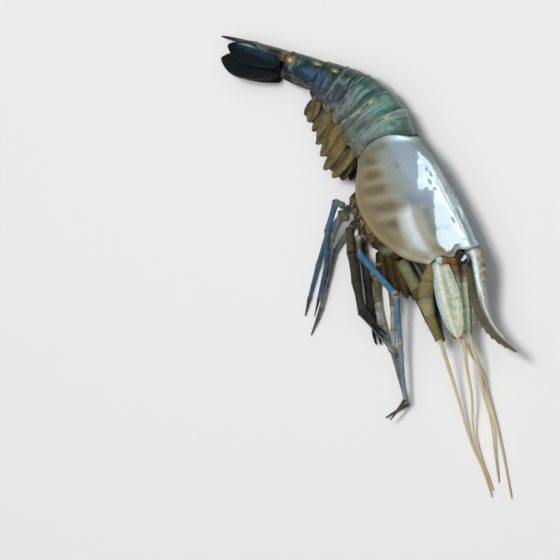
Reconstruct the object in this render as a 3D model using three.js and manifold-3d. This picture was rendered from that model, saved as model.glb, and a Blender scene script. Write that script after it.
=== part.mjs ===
// A whole raw giant river prawn, lying on its left flank with its legs folded on its belly side.
//
// Units are millimetres, +Z is up and z = 0 is the table. The drawing frame has its zero under the
// middle of the carapace's rear edge. The head points towards -Y and the tail towards -X. At the end
// the group is moved so that its origin is at the middle of the outer box, on the table.
//
// Places on the body are given as along (forward from the carapace's rear edge), out (to the
// animal's right side) and up (towards its back).
import * as THREE from "three";
import { mergeVertices } from "three/addons/utils/BufferGeometryUtils.js";
import Module from "manifold-3d";

const wasm = await Module();
wasm.setup();

// ---------------------------------------------------------------- driving dimensions

const GAP = 0.35; // between neighbouring hard parts
const SOMITE_GAP = 0.6;
const TABLE = 0; // height of the table

// The body axis: a straight carapace, then six somites and the tail fan, each bent towards the belly.
const CARAPACE_HEADING = -60.5;
const CARAPACE_ROLL = 12;
const AXIS_HEIGHT = 18.4;
const CARAPACE_REAR = -5.5;
const CARAPACE_FRONT = 61;
const SOMITE_LENGTHS = [9.5, 10.5, 11.5, 10.5, 10, 20];
const SOMITE_BENDS = [2, 9, 14, 9, 5, 1]; // degrees
const TAIL_FAN_LENGTH = 38;
const AXIS_BLEND = 4; // behind the carapace, over which its height and roll change to the somites'

// At the seven somite joints, from the carapace back to the tail fan.
const JOINT_AXIS_HEIGHTS = [17.8, 15.3, 13.5, 11.4, 9.5, 7.9, 7.2];
const JOINT_ROLLS = [11, 10, 8, 6, 4, 3, 2];
const JOINT_HALF_WIDTHS = [14.6, 14.8, 13.8, 12, 10, 8.3, 6.4];
const JOINT_TOPS = [15.2, 15.8, 14.6, 12.4, 10.2, 8.6, 7.2];
const JOINT_STERNA = [11, 11, 10, 8.8, 7.6, 6.6, 5.8];
const JOINT_PLEURON_SHIFTS = [2, 3.2, -3, -2.4, -2.4, -1.6, 0]; // forward, at the lower edge
const REAR_NOTCH = 6.5; // forward, of the carapace's rear edge at the midline
const PLEURON_LOBES = [3.5, 6.5, 5.5, 5, 4.5, 1.5]; // below the sternum, at mid length

// Along the carapace: back line, half width, level of the widest line and lower edge.
const CARAPACE_TOP = [[-5.5, 15.6], [4.5, 17], [12.5, 18.6], [28, 19.4], [46, 18.6], [61, 16.6]];
const CARAPACE_HALF_WIDTH = [
  [-5.5, 15.2], [5, 16.4], [15, 17.5], [25, 18], [37, 17.1], [48, 14.2], [61, 8.8],
];
const CARAPACE_WIDEST = [[-5.5, -1], [20, -5], [42, -3], [61, 3]];
const CARAPACE_LOWER_EDGE = [
  [-5.5, 13], [4.5, 20], [12.5, 24.2], [24, 25.5], [35, 24.4], [45, 21], [53, 17], [61, 9],
];
const CARAPACE_SECTION_PITCH = 5;
const CARAPACE_SECTION_SIDES = 24;
// Above the mouth the front edge sweeps forward to the eyes, between two heights over the axis.
const FRONT_SWEEP = { reach: 5.2, low: -1, high: 7 };
const ORBIT = { up: 10, width: 2.6, depth: 2.6 }; // a notch in that edge behind each eye
const FLANK_END = 135; // degrees from the back, where the flank ends in a free edge
const LIP = 1.4; // thickness of every free edge

// The rostrum: upper crest, side ridge and lower edge as heights over the axis.
const ROSTRUM_ROOT = 50;
const ROSTRUM_TIP = 122;
const ROSTRUM_TOP = [
  [50, 16.4], [62, 16.6], [69, 16.8], [76, 14.8], [84, 10], [92, 5.2], [99, 3.7], [108, 4.5], [122, 8.6],
];
const ROSTRUM_RIDGE = [
  [50, 14], [60, 14.2], [69, 11.4], [79, 7.4], [89, 3.9], [99, 2.6], [109, 3.4], [122, 8],
];
const ROSTRUM_BOTTOM = [
  [50, 10], [62, 9], [69, 7], [76, 3.6], [83, 1], [92, -1.5], [101, -1.5], [110, 0.6], [122, 6.8],
];
const ROSTRUM_HALF_WIDTH = [[50, 4.4], [62, 3.2], [77, 2], [98, 1.5], [122, 0.7]];
const TOOTH_PITCH = 4;
const UPPER_TOOTH = 1.2;
const LOWER_TOOTH = 0.8;
const LOWER_TEETH_START = 85;

// Colours and finishes.
const SHELL_GREY = finish(0x9aa39a, 0.3);
const SHELL_TEAL = finish(0x4d6a63, 0.3);
const SHELL_DARK = finish(0x232d33, 0.35);
const LEG_BLUE = finish(0x3f78a8, 0.35);
const LEG_OLIVE = finish(0x4a4a36, 0.4);
const LEG_PALE = finish(0x8d9484, 0.4);
const GILL_BROWN = finish(0x5a4630, 0.5);
const FEELER_TAN = finish(0xb59a66, 0.45);
const EYE_BLACK = finish(0x17131c, 0.1);
const ROSTRUM_OLIVE = finish(0x55604c, 0.35);

function finish(color, roughness) {
  return new THREE.MeshStandardMaterial({ color, roughness, metalness: 0 });
}

// ---------------------------------------------------------------- curves and frames

const rad = THREE.MathUtils.degToRad;

/** A smooth function through [position, value] knots: cubic pieces whose slopes are the mean slopes. */
function profile(knots) {
  const last = knots.length - 1;
  const slope = (a, b) => (knots[b][1] - knots[a][1]) / (knots[b][0] - knots[a][0]);
  return (x) => {
    const at = THREE.MathUtils.clamp(x, knots[0][0], knots[last][0]);
    let i = 0;
    while (i < last - 1 && at > knots[i + 1][0]) i += 1;
    const span = knots[i + 1][0] - knots[i][0];
    const t = (at - knots[i][0]) / span;
    const from = slope(Math.max(i - 1, 0), i + 1) * span;
    const to = slope(i, Math.min(i + 2, last)) * span;
    return (2 * t ** 3 - 3 * t ** 2 + 1) * knots[i][1] + (t ** 3 - 2 * t ** 2 + t) * from
      + (3 * t ** 2 - 2 * t ** 3) * knots[i + 1][1] + (t ** 3 - t ** 2) * to;
  };
}

const topOf = profile(CARAPACE_TOP);
const halfWidthOf = profile(CARAPACE_HALF_WIDTH);
const widestOf = profile(CARAPACE_WIDEST);
const lowerEdgeOf = profile(CARAPACE_LOWER_EDGE);

// Positions of the joints along the body, counted backwards from the carapace's rear edge.
const jointDistances = [0];
for (const length of SOMITE_LENGTHS) jointDistances.push(jointDistances.at(-1) + length);
const TAIL_DISTANCE = jointDistances.at(-1);

const jointProfile = (values) => profile(jointDistances.map((distance, i) => [distance, values[i]]));
const axisHeightOf = jointProfile(JOINT_AXIS_HEIGHTS);
const rollOf = jointProfile(JOINT_ROLLS);

/** How far the body has turned at a distance behind the carapace: each somite is an even bend. */
function turnAt(distance) {
  let turned = 0;
  SOMITE_BENDS.forEach((bend, i) => {
    turned += bend * THREE.MathUtils.clamp((distance - jointDistances[i]) / SOMITE_LENGTHS[i], 0, 1);
  });
  return turned;
}

/** The body axis at a place along it: its position and the directions forward, out and up. */
function bodyFrame(along) {
  const distance = Math.max(CARAPACE_REAR - along, 0);
  const start = Math.max(along, CARAPACE_REAR);
  const heading = rad(CARAPACE_HEADING);
  const at = new THREE.Vector3(start * Math.cos(heading), start * Math.sin(heading), 0);
  const steps = Math.ceil(distance * 2);
  for (let i = 0; i < steps; i += 1) {
    const middle = rad(CARAPACE_HEADING + turnAt((distance * (i + 0.5)) / steps));
    at.x -= (Math.cos(middle) * distance) / steps;
    at.y -= (Math.sin(middle) * distance) / steps;
  }
  const blend = THREE.MathUtils.clamp(distance / AXIS_BLEND, 0, 1);
  at.z = THREE.MathUtils.lerp(AXIS_HEIGHT, axisHeightOf(distance), blend);
  const roll = rad(THREE.MathUtils.lerp(CARAPACE_ROLL, rollOf(distance), blend));
  const turned = rad(CARAPACE_HEADING + turnAt(distance));
  const forward = new THREE.Vector3(Math.cos(turned), Math.sin(turned), 0);
  const left = new THREE.Vector3(-Math.sin(turned), Math.cos(turned), 0);
  const up = left.multiplyScalar(Math.cos(roll)).setZ(Math.sin(roll));
  const out = new THREE.Vector3().crossVectors(forward, up);
  return { at, forward, out, up };
}

/** A point of the body, kept from going lower than a least height over the table. */
function bodyPoint(along, out, up, least = TABLE) {
  const frame = bodyFrame(along);
  const point = frame.at.clone().addScaledVector(frame.out, out).addScaledVector(frame.up, up);
  point.z = Math.max(point.z, least);
  return point;
}

/** A direction given by its heading on the table and its rise, both in degrees. */
function direction(heading, rise) {
  const flat = Math.cos(rad(rise));
  return new THREE.Vector3(Math.cos(rad(heading)) * flat, Math.sin(rad(heading)) * flat, Math.sin(rad(rise)));
}

// ---------------------------------------------------------------- solids

/** Turns a triangle list inside out if it encloses a negative volume. */
function facingOut(vertices, faces) {
  let volume = 0;
  for (const [a, b, c] of faces) {
    volume += vertices[a].dot(new THREE.Vector3().crossVectors(vertices[b], vertices[c]));
  }
  return volume < 0 ? faces.map(([a, b, c]) => [a, c, b]) : faces;
}

/** A closed skin through rings of equal count, shut at each end by a fan to a middle point. */
function loft(rings, startMiddle, endMiddle) {
  const sides = rings[0].length;
  const vertices = [startMiddle, ...rings.flat(), endMiddle];
  const lastRing = 1 + (rings.length - 1) * sides;
  const faces = [];
  for (let i = 0; i < sides; i += 1) {
    const next = (i + 1) % sides;
    faces.push([0, 1 + next, 1 + i]);
    for (let base = 1; base < lastRing; base += sides) {
      faces.push([base + i, base + next, base + sides + next]);
      faces.push([base + i, base + sides + next, base + sides + i]);
    }
    faces.push([vertices.length - 1, lastRing + i, lastRing + next]);
  }
  const geometry = new THREE.BufferGeometry().setFromPoints(vertices);
  geometry.setIndex(facingOut(vertices, faces).flat());
  return geometry;
}

/** Joins closed geometries into one. */
function joined(...geometries) {
  const solids = geometries.map((geometry) => {
    const bare = geometry.clone();
    bare.deleteAttribute("normal");
    bare.deleteAttribute("uv");
    const merged = mergeVertices(bare, 1e-4);
    const mesh = new wasm.Mesh({
      numProp: 3,
      vertProperties: new Float32Array(merged.attributes.position.array),
      triVerts: new Uint32Array(merged.index.array),
    });
    return new wasm.Manifold(mesh);
  });
  const mesh = solids.reduce((sum, solid) => sum.add(solid)).getMesh();
  const geometry = new THREE.BufferGeometry();
  geometry.setAttribute("position", new THREE.BufferAttribute(new Float32Array(mesh.vertProperties), 3));
  geometry.setIndex(new THREE.BufferAttribute(new Uint32Array(mesh.triVerts), 1));
  return geometry;
}

const LEG_SIDES = 6;
const LEG_WAIST = 0.82; // a segment's radius over its joints' radius
const KNUCKLE = 0.14; // the swollen share of a segment's length, at each end

/**
 * A limb: a round tube along straight segments. Each joint gives its point and its radius, and the
 * tube swells a little there and slims between the joints.
 */
function limb(joints, sides = LEG_SIDES, waist = LEG_WAIST) {
  const stops = [];
  joints.forEach(({ point, radius }, i) => {
    stops.push({ point, radius });
    const next = joints[i + 1];
    if (!next) return;
    for (const share of [KNUCKLE, 1 - KNUCKLE]) {
      stops.push({
        point: point.clone().lerp(next.point, share),
        radius: THREE.MathUtils.lerp(radius, next.radius, share) * waist,
      });
    }
  });
  return tube(stops, sides);
}

/** A tube of changing radius through stops; each ring stands across the mean of its two segments. */
function tube(stops, sides) {
  const rings = stops.map(({ point, radius }, i) => {
    const before = stops[Math.max(i - 1, 0)].point;
    const after = stops[Math.min(i + 1, stops.length - 1)].point;
    const forward = new THREE.Vector3().subVectors(after, before).normalize();
    const side = new THREE.Vector3().crossVectors(forward, new THREE.Vector3(0, 0, 1)).normalize();
    const up = new THREE.Vector3().crossVectors(side, forward);
    return Array.from({ length: sides }, (_, k) => {
      const angle = (2 * Math.PI * (k + 0.5)) / sides;
      const place = point.clone().addScaledVector(side, radius * Math.cos(angle));
      return place.addScaledVector(up, radius * Math.sin(angle));
    });
  });
  return loft(rings, stops[0].point, stops.at(-1).point);
}

// A leaf's section is a flat hexagon, its outline ends round and it thins towards its tip.
const LEAF_CREST = 0.55;
const LEAF_ROUNDNESS = 0.7;
const LEAF_THINNING = 0.55;
const LEAF_LAST_RING = 0.985;

/**
 * A leaf: a thin blade from a root along a direction. Its outline swells from the root to its widest
 * place and closes to a rounded point; across gives the direction of its width.
 */
function leaf({ root, along, across, length, rootWidth, width, widestAt, thickness, steps = 8 }) {
  const normal = new THREE.Vector3().crossVectors(along, across).normalize();
  const sideways = new THREE.Vector3().crossVectors(normal, along).normalize();
  const section = [[1, 0], [LEAF_CREST, 1], [-LEAF_CREST, 1], [-1, 0], [-LEAF_CREST, -1], [LEAF_CREST, -1]];
  const rings = [];
  for (let i = 0; i <= steps; i += 1) {
    const t = LEAF_LAST_RING * (i / steps) ** 0.9;
    const rise = Math.sin((Math.PI / 2) * Math.min(t / widestAt, 1));
    const fall = Math.cos((Math.PI / 2) * Math.max((t - widestAt) / (1 - widestAt), 0)) ** LEAF_ROUNDNESS;
    const half = THREE.MathUtils.lerp(rootWidth, width, rise) * fall * 0.5;
    const thick = thickness * (1 - LEAF_THINNING * t) * 0.5;
    const middle = root.clone().addScaledVector(along, length * t);
    rings.push(section.map(([w, h]) => {
      return middle.clone().addScaledVector(sideways, half * w).addScaledVector(normal, thick * h);
    }));
  }
  return loft(rings, root.clone(), root.clone().addScaledVector(along, length));
}

// ---------------------------------------------------------------- carapace and thorax

/** The right half of a carapace section: back half ellipse, then a flank that ends in a free edge. */
function carapaceSection(along, angle) {
  const top = topOf(along);
  const widest = widestOf(along);
  const lower = (lowerEdgeOf(along) + widest) / -Math.cos(rad(FLANK_END));
  const height = angle < 90 ? top - widest : lower;
  return { out: halfWidthOf(along) * Math.sin(rad(angle)), up: widest + height * Math.cos(rad(angle)) };
}

/** How far a somite joint's edge lies forward of its plane, at a height over the axis. */
function jointShift(joint, up) {
  const low = THREE.MathUtils.clamp(-up / JOINT_STERNA[joint], 0, 1);
  const high = THREE.MathUtils.clamp(up / JOINT_TOPS[joint], 0, 1);
  return JOINT_PLEURON_SHIFTS[joint] * low ** 2 + (joint === 0 ? REAR_NOTCH * high ** 3 : 0);
}

const REAR_EDGE_REACH = 24; // ahead of the rear edge, over which its notch and corners fade out
const FRONT_EDGE_REACH = 12; // behind the front edge, over which its sweep fades out

/** One ring of the carapace. The mouth ring inside its front edge is a share of it, set back a little. */
function carapaceRing(along, share = 1, setBack = 0) {
  const contour = [];
  for (let i = 0; i <= CARAPACE_SECTION_SIDES; i += 1) {
    const angle = THREE.MathUtils.lerp(-FLANK_END, FLANK_END, i / CARAPACE_SECTION_SIDES);
    const { out, up } = carapaceSection(along, Math.abs(angle));
    contour.push([Math.sign(angle) * out, up]);
  }
  const edge = carapaceSection(along, FLANK_END);
  contour.push([edge.out - LIP, edge.up + LIP], [0, edge.up + 2 * LIP], [LIP - edge.out, edge.up + LIP]);
  // The rear edge is notched at the back and swings forward again at its lower corner.
  const rearness = THREE.MathUtils.clamp(1 - (along - CARAPACE_REAR) / REAR_EDGE_REACH, 0, 1);
  const frontness = THREE.MathUtils.clamp(1 - (CARAPACE_FRONT - along) / FRONT_EDGE_REACH, 0, 1);
  const { reach, low, high } = FRONT_SWEEP;
  return contour.map(([out, up]) => {
    const orbit = ORBIT.depth * Math.exp(-(((up - ORBIT.up) / ORBIT.width) ** 2));
    const sweep = reach * THREE.MathUtils.smoothstep(up, low, high) - orbit;
    const place = along + jointShift(0, up) * rearness + sweep * frontness - setBack;
    return bodyPoint(place, out * share, THREE.MathUtils.lerp(widestOf(along), up, share));
  });
}

const FACE_DEPTH = 8; // how far the front of the carapace is hollowed towards its middle
const FACE_SHARE = 0.86; // of its outline, at the ring inside its front edge
const FACE_STEP = 4; // how far that ring lies behind the edge

function carapace() {
  const rings = [];
  for (let along = CARAPACE_REAR + GAP; along < CARAPACE_FRONT - 2; along += CARAPACE_SECTION_PITCH) {
    rings.push(carapaceRing(along));
  }
  rings.push(carapaceRing(CARAPACE_FRONT), carapaceRing(CARAPACE_FRONT, FACE_SHARE, FACE_STEP));
  const rear = bodyPoint(CARAPACE_REAR + GAP, 0, 0);
  const face = bodyPoint(CARAPACE_FRONT - FACE_DEPTH, 0, widestOf(CARAPACE_FRONT));
  return joined(loft(rings, rear, face), rostrum());
}

// A tooth of the rostrum as shares of its pitch and of its height.
const TOOTH_SHAPE = [[0, 0], [0.78, 1], [0.9, 0.25]];
const KEEL_SHARE = 0.45; // half width halfway between the side ridge and the lower edge

/** A toothed blade with a ridge along each side: six points round it at every place. */
function rostrum() {
  const topAt = profile(ROSTRUM_TOP);
  const ridgeAt = profile(ROSTRUM_RIDGE);
  const bottomAt = profile(ROSTRUM_BOTTOM);
  const halfWidthAt = profile(ROSTRUM_HALF_WIDTH);
  const rings = [];
  const teeth = Math.floor((ROSTRUM_TIP - ROSTRUM_ROOT) / TOOTH_PITCH);
  for (let tooth = 0; tooth < teeth; tooth += 1) {
    for (const [share, height] of TOOTH_SHAPE) {
      const along = ROSTRUM_ROOT + (tooth + share) * TOOTH_PITCH;
      const lowerHeight = along > LOWER_TEETH_START ? LOWER_TOOTH * height : 0;
      const top = topAt(along) + UPPER_TOOTH * height;
      const bottom = bottomAt(along) - lowerHeight;
      const ridge = ridgeAt(along);
      const half = halfWidthAt(along);
      const keel = [half * KEEL_SHARE, (ridge + bottom) / 2];
      const contour = [[0, top], [half, ridge], keel, [0, bottom], [-keel[0], keel[1]], [-half, ridge]];
      rings.push(contour.map(([out, up]) => bodyPoint(along, out, up)));
    }
  }
  const rootMiddle = bodyPoint(ROSTRUM_ROOT, 0, ridgeAt(ROSTRUM_ROOT));
  return loft(rings, rootMiddle, bodyPoint(ROSTRUM_TIP, 0, ridgeAt(ROSTRUM_TIP)));
}

// The breast runs from behind the last legs to the mouth and narrows downwards in two steps.
const THORAX_REAR = 9;
const THORAX_FRONT = 49;
const THORAX_PITCH = 6.7;
const THORAX_DEPTH = 9.5;
const THORAX_MARGIN = 1.2; // between its upper edge and the carapace's lip
const THORAX_UPPER = 0.9;
const THORAX_SHOULDER = { inward: 0.6, depth: 5.5 };
const THORAX_FLOOR_INWARD = 3.4;

/** The breast between the carapace's two lower edges, which carries the legs. */
function thorax() {
  const rings = [];
  for (let along = THORAX_REAR; along < THORAX_FRONT; along += THORAX_PITCH) rings.push(thoraxRing(along));
  rings.push(thoraxRing(THORAX_FRONT));
  const middle = (along) => bodyPoint(along, 0, carapaceSection(along, FLANK_END).up - THORAX_UPPER);
  return loft(rings, middle(THORAX_REAR), middle(THORAX_FRONT));
}

function thoraxRing(along) {
  const edge = carapaceSection(along, FLANK_END);
  const half = edge.out - LIP - THORAX_MARGIN;
  const right = [
    [half, THORAX_UPPER], [half - THORAX_SHOULDER.inward, -THORAX_SHOULDER.depth],
    [half - THORAX_FLOOR_INWARD, -THORAX_DEPTH],
  ];
  const left = right.map(([out, up]) => [-out, up]).reverse();
  return [...right, ...left].map(([out, up]) => bodyPoint(along, out, edge.up + up));
}

// ---------------------------------------------------------------- abdomen and tail fan

// Each somite is a little narrower at its front edge, which slips under the one ahead of it, and
// flares at its rear rim. Places of its rings are shares of its length.
const SOMITE_RINGS = [0, 0.15, 0.4, 0.65, 0.86, 1];
const SOMITE_FRONT_STEP = 0.04;
const SOMITE_REAR_FLARE = 0.015;
const SOMITE_ARCH_STEP = 15; // degrees
const PLEURON_INSET = 0.2; // how far the side plates lean in, as a share of the half width
const PLEURON_ENDS = 0.12; // where the lobe's sine starts, so its corners keep some depth
const PLEURON_FULLNESS = 0.8;
const EDGE_FOLD = 2.4; // width of the folded-in edge, in lips

/** One somite: an arched plate with a hanging side plate each side and the flat sternum between. */
function somite(index) {
  const front = CARAPACE_REAR - jointDistances[index] - SOMITE_GAP / 2;
  const rear = CARAPACE_REAR - jointDistances[index + 1] + SOMITE_GAP / 2;
  const rings = SOMITE_RINGS.map((t) => somiteContour(index, t).map(([out, up]) => {
    const from = front + jointShift(index, up);
    const to = rear + jointShift(index + 1, up);
    return bodyPoint(THREE.MathUtils.lerp(from, to, t), out, up);
  }));
  return loft(rings, bodyPoint(front, 0, 0), bodyPoint(rear, 0, 0));
}

/** The outline of a somite at a share of its length: arch, right plate, belly and left plate. */
function somiteContour(index, t) {
  const between = (values) => THREE.MathUtils.lerp(values[index], values[index + 1], t);
  const step = 1 - SOMITE_FRONT_STEP * (1 - t) ** 3 + SOMITE_REAR_FLARE * t ** 4;
  const half = between(JOINT_HALF_WIDTHS) * step;
  const top = between(JOINT_TOPS) * step;
  const sternum = between(JOINT_STERNA);
  const lobePlace = THREE.MathUtils.lerp(PLEURON_ENDS, 1 - PLEURON_ENDS, t);
  const lobe = PLEURON_LOBES[index] * Math.sin(Math.PI * lobePlace) ** PLEURON_FULLNESS;
  const contour = [];
  for (let angle = -90; angle <= 90; angle += SOMITE_ARCH_STEP) {
    contour.push([half * Math.sin(rad(angle)), top * Math.cos(rad(angle))]);
  }
  const right = [0.4, 0.75, 1].map((q) => [half * (1 - PLEURON_INSET * q * q), -(sternum + lobe) * q]);
  const [edgeOut, edgeUp] = right.at(-1);
  right.push([edgeOut - LIP, edgeUp + LIP * 0.6], [edgeOut - EDGE_FOLD * LIP, -sternum]);
  const left = right.map(([out, up]) => [-out, up]).reverse();
  return [...contour, ...right, [0, -sternum], ...left];
}

// The tail fan, measured backwards from the last somite.
const TAIL = CARAPACE_REAR - TAIL_DISTANCE - GAP;
const TELSON_RINGS = [0, 2, 5, 10, 16, 22, 28, 31, TAIL_FAN_LENGTH - 1];
const TELSON_HALF_WIDTH = [[0, 5.2], [5, 5.6], [16, 4.4], [28, 2.4], [31, 1.1], [TAIL_FAN_LENGTH - 1, 0.35]];
const TELSON_HEIGHT = [[0, 3.6], [5, 3.6], [16, 2.8], [31, 1.3], [TAIL_FAN_LENGTH - 1, 0.5]];
const TELSON_FLOOR = [[0, 2.8], [12, 2.8], [TAIL_FAN_LENGTH, 2.4]]; // over the axis
const TELSON_SHOULDER = 0.75;
const TELSON_BELLY = 0.6;

/** The telson: a long tapering arch that ends in a spine. */
function telson() {
  const halfWidthAt = profile(TELSON_HALF_WIDTH);
  const heightAt = profile(TELSON_HEIGHT);
  const floorAt = profile(TELSON_FLOOR);
  const rings = TELSON_RINGS.map((back) => {
    const half = halfWidthAt(back);
    const height = heightAt(back);
    const shoulder = [half * TELSON_SHOULDER, height * TELSON_SHOULDER];
    const contour = [[half, 0], shoulder, [0, height], [-shoulder[0], shoulder[1]], [-half, 0]];
    contour.push([-half / 2, -TELSON_BELLY], [half / 2, -TELSON_BELLY]);
    return contour.map(([out, up]) => bodyPoint(TAIL - back, out, floorAt(back) + up));
  });
  const frontMiddle = bodyPoint(TAIL, 0, floorAt(0) + 1);
  return loft(rings, frontMiddle, bodyPoint(TAIL - TAIL_FAN_LENGTH, 0, floorAt(TAIL_FAN_LENGTH)));
}

// The two pairs of blades beside the telson. Lean is sideways for each unit downwards.
const UROPODS = {
  outer: { out: 5.4, up: -6.6, rise: -0.03, lean: 0.4, length: 31.5, width: 14 },
  inner: { out: 6.6, up: -2.9, rise: 0.02, lean: 0.6, length: 30, width: 11 },
};
const UROPOD_BLADE = { rootWidth: 4, widestAt: 0.62, thickness: 1.4 };
const UROPOD_STEP = 1.2; // behind the last somite
const PRESSED_LEAN = 0.45; // the left blades are pressed flat between the tail and the table
const PRESSED_OUT = 0.8;

/** One uropod: a broad blade that hangs beside the telson like one half of a roof. */
function uropod(sign, { out, up, rise, lean, length, width }) {
  const frame = bodyFrame(TAIL);
  const root = bodyPoint(TAIL - UROPOD_STEP, sign * out * (sign < 0 ? PRESSED_OUT : 1), up);
  const along = frame.forward.clone().negate().addScaledVector(frame.up, rise).normalize();
  const sideways = sign * lean * (sign < 0 ? PRESSED_LEAN : 1);
  const across = frame.up.clone().negate().addScaledVector(frame.out, sideways).normalize();
  return leaf({ root, along, across, length, width, ...UROPOD_BLADE });
}

// ---------------------------------------------------------------- limbs

// What lies on the table keeps its middle line this many radii over it.
const CLEARANCE = 1.1;

/**
 * Walking legs and claws. Each pair has its place on the breast and its segment lengths and
 * thicknesses: basal part, merus, carpus, propodus and dactyl. Each leg has its own folding, as a
 * heading and a rise in degrees for every segment.
 */
const LEG_PAIRS = [
  {
    place: 44, out: 3, lengths: [11, 12.5, 12.5, 8.5, 6],
    radii: [2.6, 2.2, 1.8, 1.5, 1.1, 0.35], claw: true,
  },
  {
    place: 22, out: 6.5, lengths: [12, 15, 15, 7.5, 10.5],
    radii: [2.5, 2.4, 2.3, 2.4, 1.9, 0.4], claw: true,
  },
  {
    place: 27, out: 3.2, lengths: [8, 33.5, 23.5, 29, 13],
    radii: [1.9, 2.2, 1.9, 1.5, 1.1, 0.35], claw: false,
  },
  {
    place: 17.5, out: 6, lengths: [5, 16, 18, 17, 9],
    radii: [1.8, 1.7, 1.4, 1.2, 0.9, 0.3], claw: false,
  },
  {
    place: 10.5, out: 6, lengths: [5, 15, 18, 17, 9],
    radii: [1.9, 1.8, 1.6, 1.3, 1.0, 0.3], claw: false,
  },
];
const LEG_POSES = {
  right: [
    [[-67, -24], [-82, 0], [-90, 0], [-87, -4], [-83, -6]],
    [[-87, -3], [-83, -7], [-79, -5], [-52, -7], [-51, -5]],
    [[-103, -17], [-45, 12], [-90, -14], [-87, -7], [-130, -7]],
    [[137, -12], [-119, -24], [-103, -13], [-104, -5], [-111, -1]],
    [[155, -15], [-111, -9], [-97, -13], [-106, -8], [-107, -7]],
  ],
  left: [
    [[-133, -29], [-87, -3], [-77, -1], [-73, -1], [-70, -3]],
    [[-93, -7], [-80, 0], [-84, 0], [-77, -3], [-70, -2]],
    [[-137, -6], [-83, 1], [-50, -6], [-76, -6], [-151, -3]],
    [[-143, -19], [-128, -4], [-105, -1], [-107, -1], [-113, -1]],
    [[-159, -11], [-134, -6], [-109, -2], [-106, -1], [-105, -2]],
  ],
};

const FINGER_SPREAD = 13; // degrees between a claw's two fingers
const FIXED_FINGER = 0.94; // its length over the moving finger's

function leg(side, pair) {
  const { place, out, lengths, radii, claw } = LEG_PAIRS[pair];
  const edge = carapaceSection(place, FLANK_END);
  const depth = THORAX_DEPTH + radii[0] + GAP;
  const root = bodyPoint(place, side === "right" ? out : -out, edge.up - depth, radii[0] * CLEARANCE);
  const joints = [{ point: root, radius: radii[0] }];
  LEG_POSES[side][pair].forEach(([heading, rise], i) => {
    const point = joints.at(-1).point.clone().addScaledVector(direction(heading, rise), lengths[i]);
    point.z = Math.max(point.z, radii[i + 1] * CLEARANCE);
    joints.push({ point, radius: radii[i + 1] });
  });
  if (!claw) return limb(joints);
  const [heading, rise] = LEG_POSES[side][pair].at(-1);
  const apart = side === "right" ? FINGER_SPREAD : -FINGER_SPREAD;
  const reach = direction(heading + apart, rise).multiplyScalar(lengths.at(-1) * FIXED_FINGER);
  return joined(limb(joints), fixedFinger(joints.at(-2), reach, radii.at(-1)));
}

/** The fixed finger of a claw: it lies beside the moving one and grows out of the palm. */
function fixedFinger(palm, reach, tipRadius) {
  const tip = palm.point.clone().add(reach);
  tip.z = Math.max(tip.z, tipRadius * CLEARANCE);
  const stops = [
    { point: palm.point, radius: palm.radius * 0.8 },
    { point: palm.point.clone().lerp(tip, 0.5), radius: palm.radius * 0.6 },
    { point: tip, radius: tipRadius },
  ];
  return tube(stops, LEG_SIDES);
}

/** A limb whose joints are given by their places on the body and their radii. */
function bodyLimb(places, sign, sides, waist) {
  return limb(places.map(([along, out, up, radius]) => {
    return { point: bodyPoint(along, sign * out, up, radius * CLEARANCE), radius };
  }), sides, waist);
}

// Third maxilliped, joint by joint: along, out, up and radius.
const MAXILLIPED = [[51, 4, -22.4, 3.2], [68, 4.2, -22.2, 3.6], [82, 3.8, -24.4, 2.5], [95, 3.2, -26.8, 0.9]];
const STOUT_WAIST = 0.95;

/** Third maxilliped: a short stout leg that reaches forward under the mouth. */
function maxilliped(sign) {
  return bodyLimb(MAXILLIPED, sign, LEG_SIDES, STOUT_WAIST);
}

// Swimming legs: they hang from the middle of each sternum and fall outwards to the table.
const PLEOPOD_LENGTHS = [24, 27, 25, 21, 16];
const PLEOPOD_SWEEPS = [0.45, 0.28, 0, -0.16, -0.3]; // towards the head
const PLEOPOD_BLADE = { rootWidth: 3.4, width: 8.6, widestAt: 0.55, thickness: 1.6, steps: 7 };
const PLEOPOD_OUT = 0.38; // as a share of the somite's half width
const PLEOPOD_DROP = 1.4; // below the sternum
const PLEOPOD_FALL = { right: -0.3, left: -0.14 };
const PLEOPOD_TWIST = -0.16;

/** One swimming leg: a leaf swept back against its neighbour. */
function pleopod(side, index) {
  const sign = side === "right" ? 1 : -1;
  const place = CARAPACE_REAR - (jointDistances[index] + jointDistances[index + 1]) / 2;
  const frame = bodyFrame(place);
  const depth = (JOINT_STERNA[index] + JOINT_STERNA[index + 1]) / 2 + PLEOPOD_DROP;
  const out = sign * JOINT_HALF_WIDTHS[index] * PLEOPOD_OUT;
  const root = bodyPoint(place, out, -depth, PLEOPOD_BLADE.thickness);
  const along = new THREE.Vector3(-frame.up.x, -frame.up.y, 0).normalize();
  along.addScaledVector(frame.forward, PLEOPOD_SWEEPS[index]).normalize();
  along.setZ(PLEOPOD_FALL[side]).normalize();
  const across = frame.forward.clone().negate().setZ(PLEOPOD_TWIST);
  return leaf({ root, along, across, length: PLEOPOD_LENGTHS[index], ...PLEOPOD_BLADE });
}

// ---------------------------------------------------------------- head

const HEAD_SIDES = 8;

const EYE = { along: 69, out: 7.4, up: 10.2, radius: 2.9 };
const EYESTALK = { along: 63, out: 4.6, up: 8.2, rootRadius: 1.3, middleRadius: 1.5, endRadius: 1.8 };

function eye(sign) {
  const ball = new THREE.SphereGeometry(EYE.radius, 14, 10);
  const place = bodyPoint(EYE.along, sign * EYE.out, EYE.up);
  return ball.translate(place.x, place.y, place.z);
}

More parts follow.
